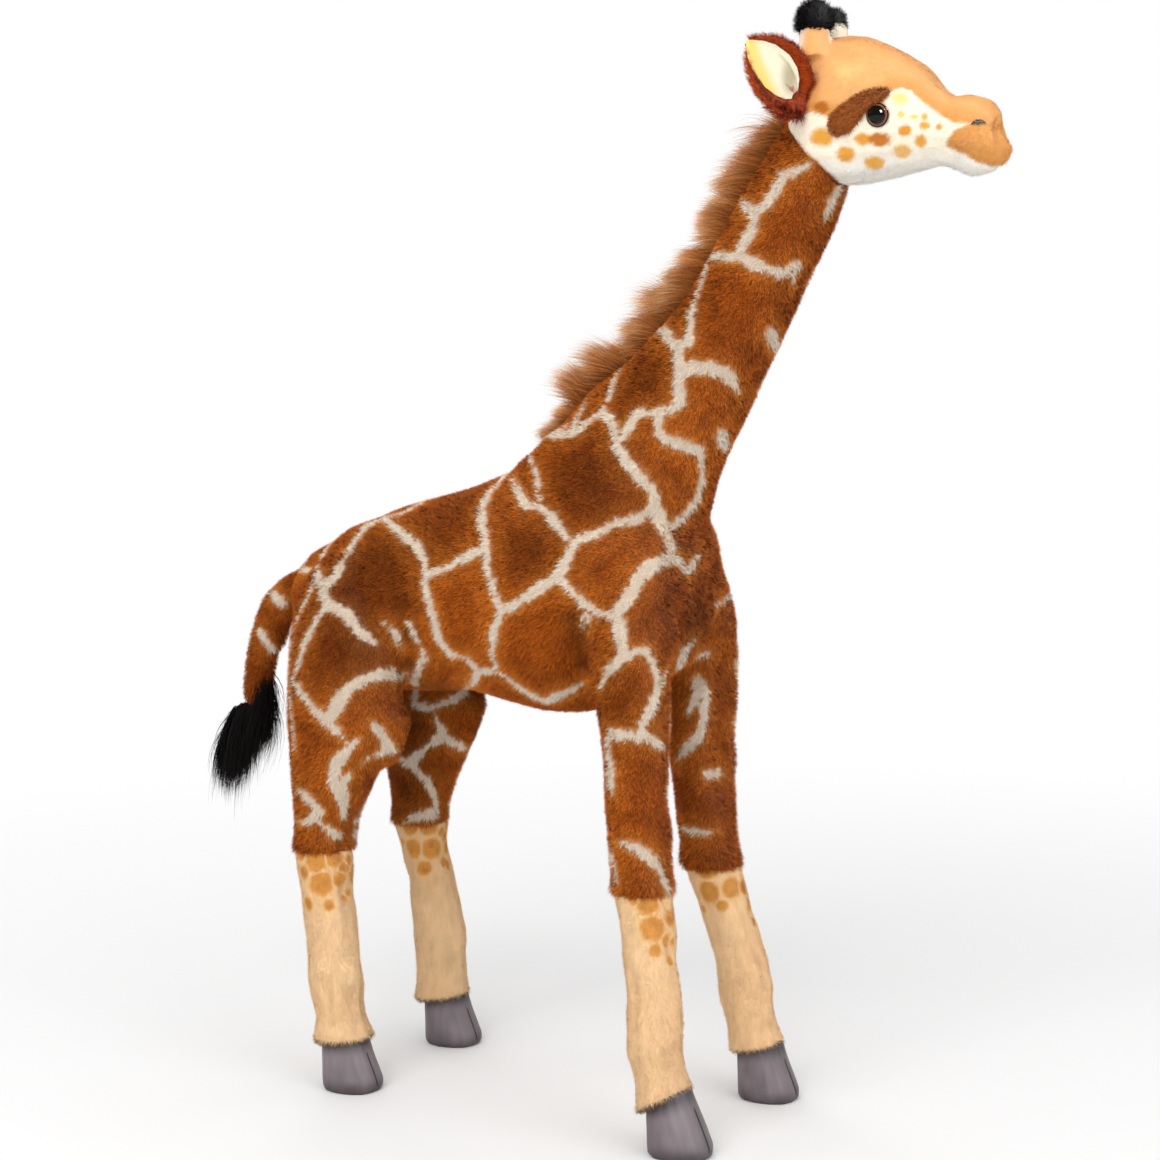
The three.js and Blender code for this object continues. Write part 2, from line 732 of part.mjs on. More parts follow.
for (const [sideName, side] of [['left', 1], ['right', -1]]) {
  const turnOf = (share) => (side > 0 ? share : 1 - share) * halfTurn;
  const eyeSeat = headForm.onSkin(eyePlaceShares[0], turnOf(eyePlaceShares[1]), -eyeSink);
  addPiece(headBody, `eye_${sideName}`,
    turnedPiece(eyeProfile(), eyeSeat.point, eyeSeat.normal), finishes.eye());
  addPiece(headBody, `eye_washer_${sideName}`,
    turnedPiece(washerProfile(), eyeSeat.point, eyeSeat.normal), finishes.washer());
  const pocket = turnedPiece(eyePocketProfile(), eyeSeat.point, eyeSeat.normal);
  headSolid = headSolid.subtract(pocket);

  const browForm = makeForm({
    stations: browShares.map(([along, turn, width]) => ({
      middle: headForm.onSkin(along, turnOf(turn)).point,
      depth: (width * browWidth) / 2,
      width: browThickness / 2,
    })),
    along: 7,
    around: smallAround,
    firstCap: browThickness / 2,
    lastCap: browThickness / 2,
  });
  addPiece(headBody, `brow_${sideName}`, cut(toSolid(browForm.skin()), headPast, pocket), finishes.brow());

  const stand = headForm.onSkin(ossiconePlaceShares[0], turnOf(ossiconePlaceShares[1])).point;
  const ossiconeFoot = stand.z - ossiconeSunk;
  const ossiconeForm = makeForm({
    stations: ossiconeShares.map(([rise, lean, depth, width]) => ({
      middle: v(stand.x - lean * ossiconeHeight, stand.y, ossiconeFoot + rise * ossiconeHeight),
      depth: (depth * ossiconeWidth) / 2,
      width: (width * ossiconeWidth) / 2,
    })),
    along: 4,
    around: smallAround + 2,
    lastCap: ossiconeCap,
  });
  const tuftFoot = ossiconeFoot + ossiconeHeight - tuftOverlap;
  const tuftForm = makeForm({
    stations: tuftShares.map(([rise, lean, depth, width]) => ({
      middle: v(stand.x - lean * tuftHeight, stand.y, tuftFoot + rise * tuftHeight),
      depth: (depth * tuftWidth) / 2,
      width: (width * tuftWidth) / 2,
    })),
    along: 5,
    around: smallAround + 2,
    firstCap: tuftFootCap,
    lastCap: tuftTopCap,
  });
  addPiece(headBody, `ossicone_${sideName}`, cut(toSolid(ossiconeForm.skin()), headPast), finishes.tan());
  addPiece(headBody, `ossicone_tuft_${sideName}`,
    cut(toSolid(tuftForm.skin()), toSolid(ossiconeForm.skin(seamGap)), headPast), finishes.black());

  const earRoot = headForm.onSkin(earPlaceShares[0], turnOf(earPlaceShares[1]), seamGap).point;
  const earBody = addBody(`ear_${sideName}_body`, headBody, earRoot);
  const shell = earLayer({
    root: earRoot, side, rows: earShares, lift: 0, thickness: earThickness, rowCount: 8, acrossCount: 6,
  });
  const lining = earLayer({
    root: earRoot, side, rows: liningShares, lift: (earThickness + liningThickness) / 2 + seamGap,
    thickness: liningThickness, rowCount: 7, acrossCount: 6,
  });
  const headPastEar = sweepPast(headForm.skin(turningGap), earRoot, shell.across, earLimits);
  addPiece(earBody, `ear_${sideName}`, cut(toSolid(shell.geometry), headPastEar), finishes.rust());
  addPiece(earBody, `ear_lining_${sideName}`, cut(toSolid(lining.geometry), headPastEar), finishes.felt());
}
addPiece(headBody, 'head', headSolid, finishes.tan());

// A leg on its own body: upper leg, sleeve, hoof, sole plate and wire
function addLeg(name, side, leg) {
  const hip = v(leg.hip.x, side * leg.hip.y, leg.hip.z);
  const seamZ = hoofHeight + leg.sleeveLength;
  const middle = (z, reach, splay) => v(
    leg.hip.x + reach * leg.reach, side * (leg.hip.y + splay * leg.splay), z);
  const upperForm = makeForm({
    stations: leg.upperShares.map(([rise, reach, splay, depth, width]) => ({
      middle: middle(seamZ + rise * leg.upperLength, reach, splay),
      depth: (depth * leg.thighDepth) / 2,
      width: (width * leg.thighWidth) / 2,
    })),
    square: downward,
    along: 7,
    around: limbAround,
    firstCap: leg.thighCap,
  });
  const sleeveForm = makeForm({
    stations: leg.sleeveShares.map(([rise, reach, splay, depth, width]) => ({
      middle: middle(hoofHeight + seamGap + rise * (leg.sleeveLength - 2 * seamGap), reach, splay),
      depth: (depth * leg.ankleDepth) / 2,
      width: (width * leg.ankleWidth) / 2,
    })),
    square: downward,
    along: 4,
    around: limbAround,
  });
  const hoofForm = makeForm({
    stations: hoofShares.map(([rise, ahead, length, width]) => ({
      middle: middle(rise * hoofHeight, 1, 1).add(v(ahead * hoofLength, 0, 0)),
      depth: (length * hoofLength) / 2,
      width: (width * hoofWidth) / 2,
    })),
    square: downward,
    along: 5,
    around: limbAround + 2,
    notchShare: cleftShare,
  });
  const sole = middle(0, 1, 1);
  const floorCut = new THREE.BoxGeometry(hoofLength * 2, hoofWidth * 2, cutOverrun);
  floorCut.translate(sole.x, sole.y, -cutOverrun / 2);
  const plate = (grow) => {
    const disc = new THREE.CylinderGeometry(1, 1, solePlateThickness + 2 * grow, limbAround);
    disc.rotateX(quarterTurn);
    disc.scale(solePlateLength / 2 + grow, solePlateWidth / 2 + grow, 1);
    return toSolid(disc.translate(sole.x, sole.y, solePlateHeight));
  };
  const plateTop = solePlateHeight + solePlateThickness / 2 + seamGap;
  const wireLine = [
    ...middlesOf(upperForm, upperLegWireShares),
    ...middlesOf(sleeveForm, sleeveWireShares),
    middle(hoofHeight / 2, 1, 1),
    middle(plateTop, 1, 1),
  ];
  const channel = channelAlong(wireLine);
  const torsoPastLeg = sweepPast(torsoForm.skin(turningGap), hip, leftward, legLimits);

  const body = addBody(`leg_${name}_body`, torsoBody, hip);
  addPiece(body, `upper_leg_${name}`,
    cut(toSolid(upperForm.skin()), torsoPastLeg, channel), finishes.plush());
  addPiece(body, `leg_sleeve_${name}`, cut(toSolid(sleeveForm.skin()), channel), finishes.velour());
  addPiece(body, `hoof_${name}`, cut(toSolid(hoofForm.skin()), toSolid(floorCut), plate(seamGap), channel),
    finishes.satin());
  addPiece(body, `sole_plate_${name}`, plate(0), finishes.board());
  addPiece(body, `leg_wire_${name}`, wireAlong(wireLine, wireRadius), finishes.wire());
}

const hindLeg = {
  hip: hindHip,
  reach: hindReach,
  splay: hindSplay,
  upperLength: hindUpperLength,
  sleeveLength: hindSleeveLength,
  thighDepth: hindThighDepth,
  thighWidth: hindThighWidth,
  thighCap: hindThighCap,
  ankleDepth: hindAnkleDepth,
  ankleWidth: hindAnkleWidth,
  upperShares: hindUpperShares,
  sleeveShares: hindSleeveShares,
};
const frontLeg = {
  hip: frontHip,
  reach: frontReach,
  splay: frontSplay,
  upperLength: frontUpperLength,
  sleeveLength: frontSleeveLength,
  thighDepth: frontThighDepth,
  thighWidth: frontThighWidth,
  thighCap: frontThighCap,
  ankleDepth: frontAnkleDepth,
  ankleWidth: frontAnkleWidth,
  upperShares: frontUpperShares,
  sleeveShares: frontSleeveShares,
};
addLeg('front_left', 1, frontLeg);
addLeg('front_right', -1, frontLeg);
addLeg('hind_left', 1, hindLeg);
addLeg('hind_right', -1, hindLeg);

// The origin lies on the floor under the middle of the whole toy
const whole = new THREE.Box3().setFromObject(giraffe);
giraffe.position.set(-(whole.min.x + whole.max.x) / 2, -(whole.min.y + whole.max.y) / 2, 0);

export default giraffe;
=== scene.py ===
"""Dresses the plush giraffe: stuffed skins, pile, mane, hair, felt, satin, eyes and the stage."""

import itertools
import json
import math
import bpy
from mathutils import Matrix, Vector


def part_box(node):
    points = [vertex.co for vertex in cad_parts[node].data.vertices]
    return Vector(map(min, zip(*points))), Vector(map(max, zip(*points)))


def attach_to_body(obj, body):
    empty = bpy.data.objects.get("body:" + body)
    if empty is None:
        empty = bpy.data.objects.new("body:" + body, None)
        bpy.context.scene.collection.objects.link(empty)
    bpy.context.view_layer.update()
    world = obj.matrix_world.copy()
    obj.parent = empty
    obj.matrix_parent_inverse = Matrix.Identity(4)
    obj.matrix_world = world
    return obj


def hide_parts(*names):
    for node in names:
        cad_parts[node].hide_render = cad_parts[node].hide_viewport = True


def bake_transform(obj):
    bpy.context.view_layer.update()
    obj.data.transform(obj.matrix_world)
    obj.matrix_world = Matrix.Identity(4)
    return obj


bl_info = {
    "name": "Plush giraffe",
    "version": (1, 0, 0),
    "blender": (4, 5, 0),
    "location": "View3D > Sidebar > Giraffe",
    "description": "Builds the plush giraffe over its packed CAD model",
    "category": "Object",
}

import bpy
import numpy as np
from mathutils import Matrix, Vector
from mathutils.bvhtree import BVHTree
from mathutils.kdtree import KDTree

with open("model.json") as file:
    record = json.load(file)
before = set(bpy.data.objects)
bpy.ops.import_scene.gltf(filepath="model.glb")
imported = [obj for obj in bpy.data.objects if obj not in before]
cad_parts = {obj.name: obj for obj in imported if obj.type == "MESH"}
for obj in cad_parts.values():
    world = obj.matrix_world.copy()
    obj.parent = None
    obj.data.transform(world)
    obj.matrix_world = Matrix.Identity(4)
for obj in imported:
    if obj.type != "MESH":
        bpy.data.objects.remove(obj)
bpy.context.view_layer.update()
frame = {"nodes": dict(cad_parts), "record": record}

MM = 0.001
STL_FACES = 199_000  # the most triangles of one piece that the export keeps as they are
SIDES = ("left", "right")
HAND = {"left": 1, "right": -1}  # which way along Y each side lies
MIRROR = np.array([1, -1, 1])  # takes a place to its twin on the other side
LEGS = ("front_left", "front_right", "hind_left", "hind_right")

# The camera of the photograph: where it stands, how far it is turned and how long its lens is
CAMERA_PLACE = np.array([0.69678, -1.172, 0.448])
CAMERA_TURN = math.radians(30.4)
CAMERA_DROP = math.radians(4.3)
PHOTO_WIDTH = 1160
PHOTO_LENS = 2079.0
SENSOR_WIDTH = 36
WAVE_BANDS = 20 / math.tau  # bands of a wave texture in one unit of its space
BACKWARD = np.array([
    math.sin(CAMERA_TURN) * math.cos(CAMERA_DROP),
    -math.cos(CAMERA_TURN) * math.cos(CAMERA_DROP),
    math.sin(CAMERA_DROP),
])
RIGHTWARD = np.array([math.cos(CAMERA_TURN), math.sin(CAMERA_TURN), 0.0])
UPWARD = np.cross(BACKWARD, RIGHTWARD)
CLOSE_SCALE = 4.94  # the face was read on an enlargement, this much larger than the photograph
CLOSE_LEFT = 721.5
CLOSE_TOP = 1.0

# Directions of the giraffe's own
NECK_UP = np.array([0.504, 0.0, 0.864])
NECK_BACK = np.array([-0.864, 0.0, 0.504])

COAT = ["torso", "neck", "tail"] + [f"upper_leg_{leg}" for leg in LEGS]
HEAD = ["head", "chin", "ossicone_left", "ossicone_right"]
BODY = {
    node: body
    for body, nodes in frame["record"]["behaviour"]["bodies"].items()
    for node in nodes
}
# The skins that cross a joint, with the stretch over which they turn, in metres
CROSSINGS = {
    "neck": ("torso_body", "neck_body", NECK_UP * 0.385, NECK_UP * 0.470),
    "tail": ("torso_body", "tail_body", (-0.2134, 0, 0.3376), (-0.2400, 0, 0.3140)),
}
for leg in LEGS:
    CROSSINGS[f"upper_leg_{leg}"] = ("torso_body", f"leg_{leg}_body", (0, 0, 0.262), (0, 0, 0.200))
CROSSINGS["mane"] = CROSSINGS["neck"]

# Which way the pile lies on each part of the coat
NAP = {"torso": (-0.75, 0, -0.65), "neck": (-0.62, 0, -0.80), "tail": (-0.45, 0, -0.85)}

# The cream lines between the patches: half a width in mm, then points read on the photograph
CREAM_LINES = [
    (1.7, [(314, 582), (300, 608), (293, 629), (290, 645), (289, 661), (289, 683), (291, 704),
           (294, 748)]),
    (2.6, [(424, 502), (405, 512), (386, 519), (366, 529), (352, 544), (345, 556), (336, 576),
           (322, 586)]),
    (2.8, [(386, 519), (402, 533), (417, 546), (424, 560), (424, 574), (426, 592), (432, 616),
           (438, 640), (449, 655), (466, 658), (474, 668)]),
    (2.9, [(424, 574), (444, 569), (464, 556), (484, 548)]),
    (2.8, [(505, 477), (488, 493), (481, 510), (484, 530), (485, 550), (487, 572), (494, 594),
           (501, 611), (494, 630), (492, 652), (496, 670)]),
    (3.2, [(501, 611), (522, 601), (544, 584), (558, 575), (567, 560), (574, 543)]),
    (2.8, [(314, 560), (318, 577), (322, 588), (327, 604), (314, 622), (304, 644), (297, 664),
           (291, 681), (304, 697), (318, 714), (332, 728), (345, 740)]),
    (3.9, [(327, 604), (346, 612), (358, 629), (376, 644)]),
    (4.4, [(405, 677), (382, 673), (362, 679), (346, 691), (335, 706), (327, 721)]),
    (2.6, [(382, 620), (394, 632), (402, 650)]),
    (2.6, [(407, 625), (415, 641), (424, 654), (418, 670), (414, 690), (413, 704), (430, 708),
           (455, 699), (474, 683), (478, 673), (496, 671), (510, 681), (530, 696), (547, 702),
           (563, 694), (584, 687)]),
    (2.4, [(568, 424), (551, 440), (540, 458), (537, 480), (540, 500)]),
    (2.8, [(513, 480), (520, 495), (527, 505), (541, 506), (553, 516), (562, 530), (574, 543)]),
    (3.0, [(549, 440), (576, 430), (602, 411), (612, 424), (616, 446), (627, 463), (641, 478),
           (653, 490), (656, 508), (640, 517), (618, 522), (598, 532), (576, 540)]),
    (2.6, [(558, 577), (570, 589), (584, 603), (598, 613), (616, 616)]),
    (3.8, [(656, 508), (664, 524), (672, 540), (673, 556), (652, 565), (640, 578), (630, 594),
           (617, 610), (619, 634), (625, 655)]),
    (3.2, [(625, 655), (606, 671), (599, 688)]),
    (2.6, [(673, 527), (684, 518), (698, 502), (704, 480), (703, 458)]),
    (3.0, [(673, 556), (684, 563), (692, 570), (700, 554)]),
    (3.0, [(625, 655), (645, 650), (655, 664), (661, 684), (677, 672), (688, 652), (698, 640)]),
    (3.2, [(661, 686), (652, 708), (641, 726), (640, 736), (610, 733)]),
    (3.0, [(640, 736), (655, 741), (668, 750)]),
    (3.2, [(617, 442), (630, 426), (638, 412), (660, 413), (680, 405), (678, 384)]),
    (1.6, [(602, 411), (611, 392), (616, 374), (630, 356), (658, 327)]),
    (3.2, [(658, 326), (668, 336), (676, 346), (679, 362), (677, 384)]),
    (2.6, [(676, 345), (690, 342), (690, 313), (697, 290), (703, 272), (710, 254)]),
    (3.2, [(710, 254), (738, 257), (756, 264), (771, 271), (786, 272), (799, 265), (795, 282)]),
    (3.6, [(738, 256), (743, 242), (753, 228), (755, 212), (743, 204), (740, 194)]),
    (2.8, [(755, 212), (768, 202), (777, 188), (783, 175), (808, 170)]),
    (3.8, [(682, 369), (700, 367), (720, 371), (733, 380), (741, 394)]),
    (3.4, [(658, 414), (658, 430), (666, 441), (684, 445), (700, 452)]),
    (3.2, [(588, 396), (582, 410), (574, 424)]),
    (2.8, [(826, 218), (833, 203), (842, 190)]),
    (3.6, [(772, 332), (778, 347)]),
    (3.2, [(722, 436), (728, 448)]),
    (3.6, [(619, 842), (640, 850), (660, 866), (668, 884)]),
    (2.2, [(606, 738), (611, 765), (613, 794)]),
    (2.8, [(612, 852), (616, 876)]),
    (2.8, [(684, 828), (702, 833), (718, 831)]),
    (3.0, [(712, 776), (731, 774)]),
    (2.8, [(680, 760), (691, 748), (703, 738), (709, 716), (709, 692), (701, 680), (698, 700),
           (692, 714)]),
    (2.0, [(698, 660), (710, 655)]),
    (2.4, [(372, 722), (381, 733), (386, 747), (373, 756), (362, 764)]),
    (3.2, [(356, 742), (345, 752), (335, 765), (332, 784), (341, 800)]),
    (3.2, [(350, 774), (342, 784), (344, 802), (346, 820)]),
    (3.6, [(297, 790), (309, 800), (318, 812), (306, 822), (297, 820)]),
    (3.0, [(318, 822), (332, 834), (346, 838)]),
    (2.6, [(398, 757), (411, 766), (425, 780), (438, 798), (441, 812), (420, 813), (404, 816)]),
    (2.6, [(435, 715), (443, 735), (426, 748), (410, 762)]),
    (2.6, [(445, 738), (458, 744), (469, 752)]),
    (1.5, [(580, 632), (581, 617), (588, 614), (589, 628)]),
    (2.0, [(718, 606), (724, 594)]),
    (3.0, [(292, 570), (306, 566)]),
    (3.2, [(270, 592), (283, 604)]),
    (3.4, [(255, 632), (263, 640), (273, 650)]),
]
# Patches that stand out darker (below 1) or lighter: the dye's share, the radius in mm and the
# place on the photograph. Most are the patches' own tone; the small darkest ones along the folds
# are painted shade, and so is the dark one under the belly
PATCH_TONES_AND_SHADE = [
    (0.62, 30, 595, 478), (0.60, 34, 380, 568), (0.66, 26, 536, 552), (0.60, 22, 350, 650),
    (0.70, 24, 640, 385), (0.66, 20, 440, 688), (0.72, 28, 450, 522), (0.74, 20, 648, 190),
    (0.70, 18, 700, 625), (0.80, 20, 625, 700), (0.76, 22, 692, 300), (0.50, 26, 405, 730),
    (0.55, 20, 408, 790), (1.22, 22, 462, 612), (1.25, 30, 545, 640), (1.12, 24, 650, 450),
    (1.18, 26, 690, 430), (1.20, 26, 738, 305), (1.15, 26, 795, 225), (1.15, 20, 690, 480),
    (0.40, 7, 574, 618), (0.38, 8, 577, 640), (0.40, 8, 583, 664), (0.55, 8, 404, 606),
    (0.50, 8, 409, 636), (0.50, 8, 411, 666), (1.18, 30, 640, 810), (1.12, 26, 310, 760),
    (1.15, 16, 350, 730), (1.12, 20, 620, 555), (0.82, 28, 335, 600), (0.80, 16, 268, 628),
    (0.88, 24, 250, 680),
]
# Folds of the stuffed body, and its swellings (below 0): depth and half width in mm, and points on
# the photograph
CREASES = [
    (5.0, 9.0, [(574, 640), (572, 662), (582, 684)]),
    (3.0, 8.0, [(405, 600), (409, 640), (408, 690)]),
    (3.0, 7.0, [(718, 560), (706, 620), (700, 680)]),
    (-8.0, 11.0, [(552, 447), (541, 460), (529, 470)]),
    (-3.0, 12.0, [(345, 536), (362, 529), (382, 522)]),
    (5.0, 9.0, [(308, 564), (320, 555), (330, 550)]),
    (-9.5, 9.0, [(474, 703), (468, 722), (463, 736)]),
    (5.0, 9.0, [(457, 760), (449, 790), (446, 815)]),
    (-5.0, 10.0, [(722, 590), (728, 612), (730, 640)]),
    (-2.6, 9.0, [(610, 750), (611, 800), (612, 860)]),
    (-3.0, 8.0, [(664, 780), (667, 812)]),
    (-2.0, 12.0, [(560, 705), (580, 706)]),
    (1.2, 9.0, [(254, 614), (251, 640), (249, 656)]),
    (8.5, 12.0, [(734, 655), (733, 700), (731, 745), (731, 780)]),
    (2.5, 7.0, [(262, 614), (256, 640)]),
    (1.6, 4.0, [(268, 606), (276, 614), (284, 626)]),
    (1.6, 4.0, [(254, 636), (264, 646), (275, 660)]),
    (-1.6, 8.0, [(275, 640), (279, 646)]),
]
# Folds and swellings of the sleeves, in the same way
SLEEVE_CREASES = [
    (1.8, 2.8, [(729, 900), (737, 917), (749, 944), (758, 970), (763, 990)]),
    (-1.8, 6.0, [(764, 950), (769, 968)]),
    (1.6, 2.8, [(627, 961), (635, 997), (631, 1030)]),
    (-1.4, 6.0, [(629, 1036), (628, 1046)]),
    (-1.2, 7.0, [(676, 1005), (678, 1032)]),
    (2.4, 7.0, [(672, 1058), (674, 1066)]),
    (1.4, 6.0, [(671, 946), (672, 954)]),
    (1.6, 6.0, [(346, 890), (347, 898)]),
    (-1.6, 7.0, [(356, 968), (357, 980)]),
    (2.0, 6.0, [(352, 996), (354, 1004)]),
    (-1.8, 7.0, [(459, 928), (460, 940)]),
    (2.4, 6.0, [(451, 966), (452, 974)]),
    (1.4, 7.0, [(402, 850), (406, 900)]),
]
# How much each sleeve's hem rises towards the toes, and how far its front is drawn back, in mm
HEM_RISE = {"front_right": 0.52, "front_left": 0.20, "hind_right": 0.05, "hind_left": 0.12}
HEM_PULL = {"front_right": 5.5, "front_left": 2.6, "hind_right": 2.2, "hind_left": 2.4}
# The forelegs' lean: how far forward in mm, at which height and over what height in metres
FORELEG_LEAN = {"left": (-3.4, 0.240, 0.052), "right": (1.0, 0.232, 0.034)}
# How far the mane stands out at shares of its run, from its foot to its crown
MANE_RUN = (0.20, 0.24, 0.29, 0.33, 0.375, 0.41, 0.47, 0.60, 0.70, 0.80, 0.88, 0.95, 1.05)
MANE_REACH = (0.66, 0.66, 1.04, 0.90, 1.04, 0.84, 1.04, 1.10, 0.98, 0.86, 0.98, 1.10, 1.06)
# Folds and swellings of the face, in the same way: the mouth, the seam over the cheek, the hollow
# round the eye, the forehead and the muzzle
FACE_CREASES = [
    (1.4, 2.2, [(948.2, 145.9), (962.4, 151.8), (976.6, 160.9), (990.7, 165.4), (1004.9, 164.2),
                (1013, 161)]),
    (0.5, 2.0, [(892.6, 90.1), (909.8, 90.1), (923.9, 102.2), (940.1, 114.4), (954.3, 122.5),
                (968.4, 122.5)]),
    (1.2, 7.0, [(877, 112), (881, 120)]),
    (-2.2, 12.0, [(868, 46), (896, 58), (912, 67)]),
    (3.2, 6.0, [(945, 86), (955, 92)]),
    (-3.0, 7.0, [(972, 101), (985, 104)]),
    (9.0, 8.0, [(1003, 108), (1009, 118), (1011, 128)]),
    (-2.5, 6.0, [(1008, 150), (1004, 157)]),
]
# The back edge of the cheek, as points of the enlargement
CHEEK_EDGE = [(430, 590), (462, 647), (521, 766), (610, 869)]
# The brow: its half width in mm and points of the enlargement
BROW = [(5.4, 546, 652), (8.0, 574, 618), (8.0, 614, 576), (6.4, 669, 519), (4.6, 743, 471),
        (2.2, 832, 443)]
# The back and front edges of the felt lining, as points of the enlargement
LINING_BACK = [(128, 190), (158, 291), (203, 395), (240, 484)]
LINING_FRONT = [(300, 255), (350, 305), (385, 370), (396, 440), (388, 500)]
# The stitches of a nostril, from end to end, on the enlargement
STITCHES = [
    ((1236, 612), (1262, 596)), ((1243, 598), (1270, 612)), ((1254, 592), (1282, 600)),
    ((1262, 612), (1290, 596)), ((1272, 590), (1300, 608)), ((1240, 606), (1298, 601)),
]
# Bands of the enlargement over which the head changes, from where to where: the lip, the skin that
# is smoothed round it, the jowl behind it, the darker front of the muzzle and its longer pile
LIP_ACROSS = (1120, 1230)
LIP_DOWN = (750, 800)
LIP_TIP = (1340, 1430)
SMOOTH_ACROSS = (1060, 1160)
SMOOTH_DOWN = (730, 780)
JOWL_WIDTH = (0, 120)
JOWL_DOWN = (700, 880)
FRONT_ACROSS = (1180, 1330)
FRONT_DOWN = (560, 700)
MUZZLE_ACROSS = (1080, 1200)
MUZZLE_DOWN = (560, 680)
MUZZLE_LOW = (790, 820)
# The jaw slopes this much from here on. Over these bands its dye turns white and its pile longer
JAW_SLOPE = 0.06
JAW_START = 700
JAW_WHITE = (700, 860)
JAW_PILE = (800, 860)
# Where the tan of the horns starts, where the ear's pile turns longer, and the ear's shaded cup
HORN_TAN = (395, 450)
EAR_LOW = (480, 560)
CUP_MIDDLE = (340, 370)
CUP_HALF = (52, 105)
# The ivory nape: where it ends towards the front and towards the sides, in metres
NAPE_FRONT = (0.166, 0.182)
NAPE_SIDE = (0.013, 0.023)
# How high the sleeves' hems and tops are, in metres
HEM_HEIGHT = 0.034
SLEEVE_TOP = 0.158
# How finely the coat and the head are remeshed, in mm, and how many rounds they are smoothed
COAT_GRID = (3.0, 9)
HEAD_GRID = (1.5, 5)
# Hairs run to a point late along their length, evenly at 1. Their normals stray this much from the
# skin's, so that the pile is lit as one soft face
HAIR_TAPER = 1.6
NORMAL_STRAY = 0.16
# How much the hairs of one pile differ, as shares of their length and width, and those of the mane
PILE_SPREAD = (0.75, 1.2)
FIBRE_SPREAD = (0.7, 1.25)
HAIR_SPREAD = (0.7, 1.2)
# How far each hair is turned about its length at most, in degrees
PILE_TWIST = 35
HAIR_TWIST = 60
# The mane: where its seam starts and ends, how many hairs it has and how many locks they part into
MANE_FOOT = np.array([0.0208, 0, 0.352])
MANE_CROWN = np.array([0.1858, 0, 0.635])
MANE_HAIRS = 42000
MANE_LOCKS = 460
# The tail tuft's two bunches, that of the tail's end and that which grows up along its front: the
# number of hairs, their way and how they fall; then how many locks they all part into
TUFT_BUNCHES = [
    (6500, (-0.34, 0, -0.94), (0.02, 0, -0.12)),
    (3500, (0.50, 0, -0.86), (-0.17, 0, -0.12)),
]
TUFT_LOCKS = 170
# Each horn tuft's size against the CAD's, its move in mm and the length of its hair in mm
HORN_TUFTS = {
    "right": (0.88, (-0.4, 0, -3.6), 5.4),
    "left": (0.66, (-1.4, 0, -0.2), 4.2),
}
# How far apart the middles of the hidden patches are, and on the legs and belly, below that height
CELL_SPACE = 0.042
CELL_SPACE_LOW = 0.030
LOW_COAT = 0.30
# Faces of the head that look at the neck from nearer than this line its socket
SOCKET_GAP = 0.025
# How finely the eyes are turned: sides all round, and steps from the ball's edge to its middle
EYE_SIDES = 48
BALL_STEPS = 14
# Cream lines meet when nearer than this many pixels. A free end tapers over so many steps of the
# line, unless the line has fewer steps than a short one
MEETING = 7
TAPER_STEPS = 6
SHORT_LINE = 14
# Where cream lines cross the back: how much it faces up, under what height and how far apart in mm
BACK_FACING = 0.55
BACK_TOP = 0.42
BACK_SPACING = 34
# How far from the lining the ear's skin is looked for, and how far the lining stays clear of it
LINING_REACH = 0.02
LINING_CLEARANCE = 0.0015
# How far the felt lining sits from its place in the CAD, towards the ear's tip, in metres
LINING_MOVE = np.array([-0.0034, 0, 0.0051])
# How far the middle of each sleeve leans forward, in mm
SLEEVE_SWAY = {"front_right": 0.6, "front_left": 3.0, "hind_right": 0.2, "hind_left": 3.0}
# How light each sleeve is dyed
SLEEVE_TONES = {"front_right": 1.0, "front_left": 1.10, "hind_right": 1.01, "hind_left": 0.95}
# Spots on the sleeves: radius in mm and place on the photograph
SLEEVE_SPOTS = [
    (9.0, 648, 903), (6.5, 667, 897), (9.0, 653, 928), (6.0, 671, 918), (5.5, 669, 941),
    (4.5, 634, 900), (4.5, 656, 950), (4.0, 671, 960), (4.0, 638, 885), (5.0, 657, 884),
    (8.5, 706, 869), (6.5, 724, 864), (7.5, 740, 866), (8.5, 708, 892), (7.5, 731, 887),
    (5.5, 747, 888), (4.5, 722, 905), (4.5, 747, 907), (4.0, 700, 910),
    (8.5, 316, 861), (7.5, 335, 858), (9.0, 321, 884), (6.5, 341, 879), (5.0, 304, 872),
    (5.0, 308, 903), (4.5, 329, 905), (4.5, 347, 897), (4.5, 300, 855), (4.5, 349, 860),
    (8.0, 409, 826), (8.0, 429, 826), (8.0, 412, 849), (8.5, 432, 848), (5.5, 446, 836),
    (6.0, 424, 868), (4.5, 444, 862), (4.0, 400, 842),
]
# The face, on the enlargement: the outline of the ivory cheek and muzzle
CHEEK = [
    (1232, 602), (1150, 600), (1080, 560), (1000, 500), (930, 440), (880, 425), (845, 440),
    (780, 520), (650, 590), (560, 585), (500, 560), (440, 548), (385, 560), (300, 600),
    (300, 1100), (1460, 1100), (1460, 800), (1400, 806), (1330, 812), (1260, 790), (1190, 745),
    (1120, 716), (1118, 690), (1150, 642),
]
# The outline of the lighter forehead
FOREHEAD = [
    (400, 250), (520, 165), (640, 172), (740, 190), (900, 262), (1040, 350), (1150, 450),
    (1260, 465), (1340, 530), (1440, 700), (1250, 560), (1080, 530), (950, 420), (840, 400),
    (640, 540), (470, 520),
]
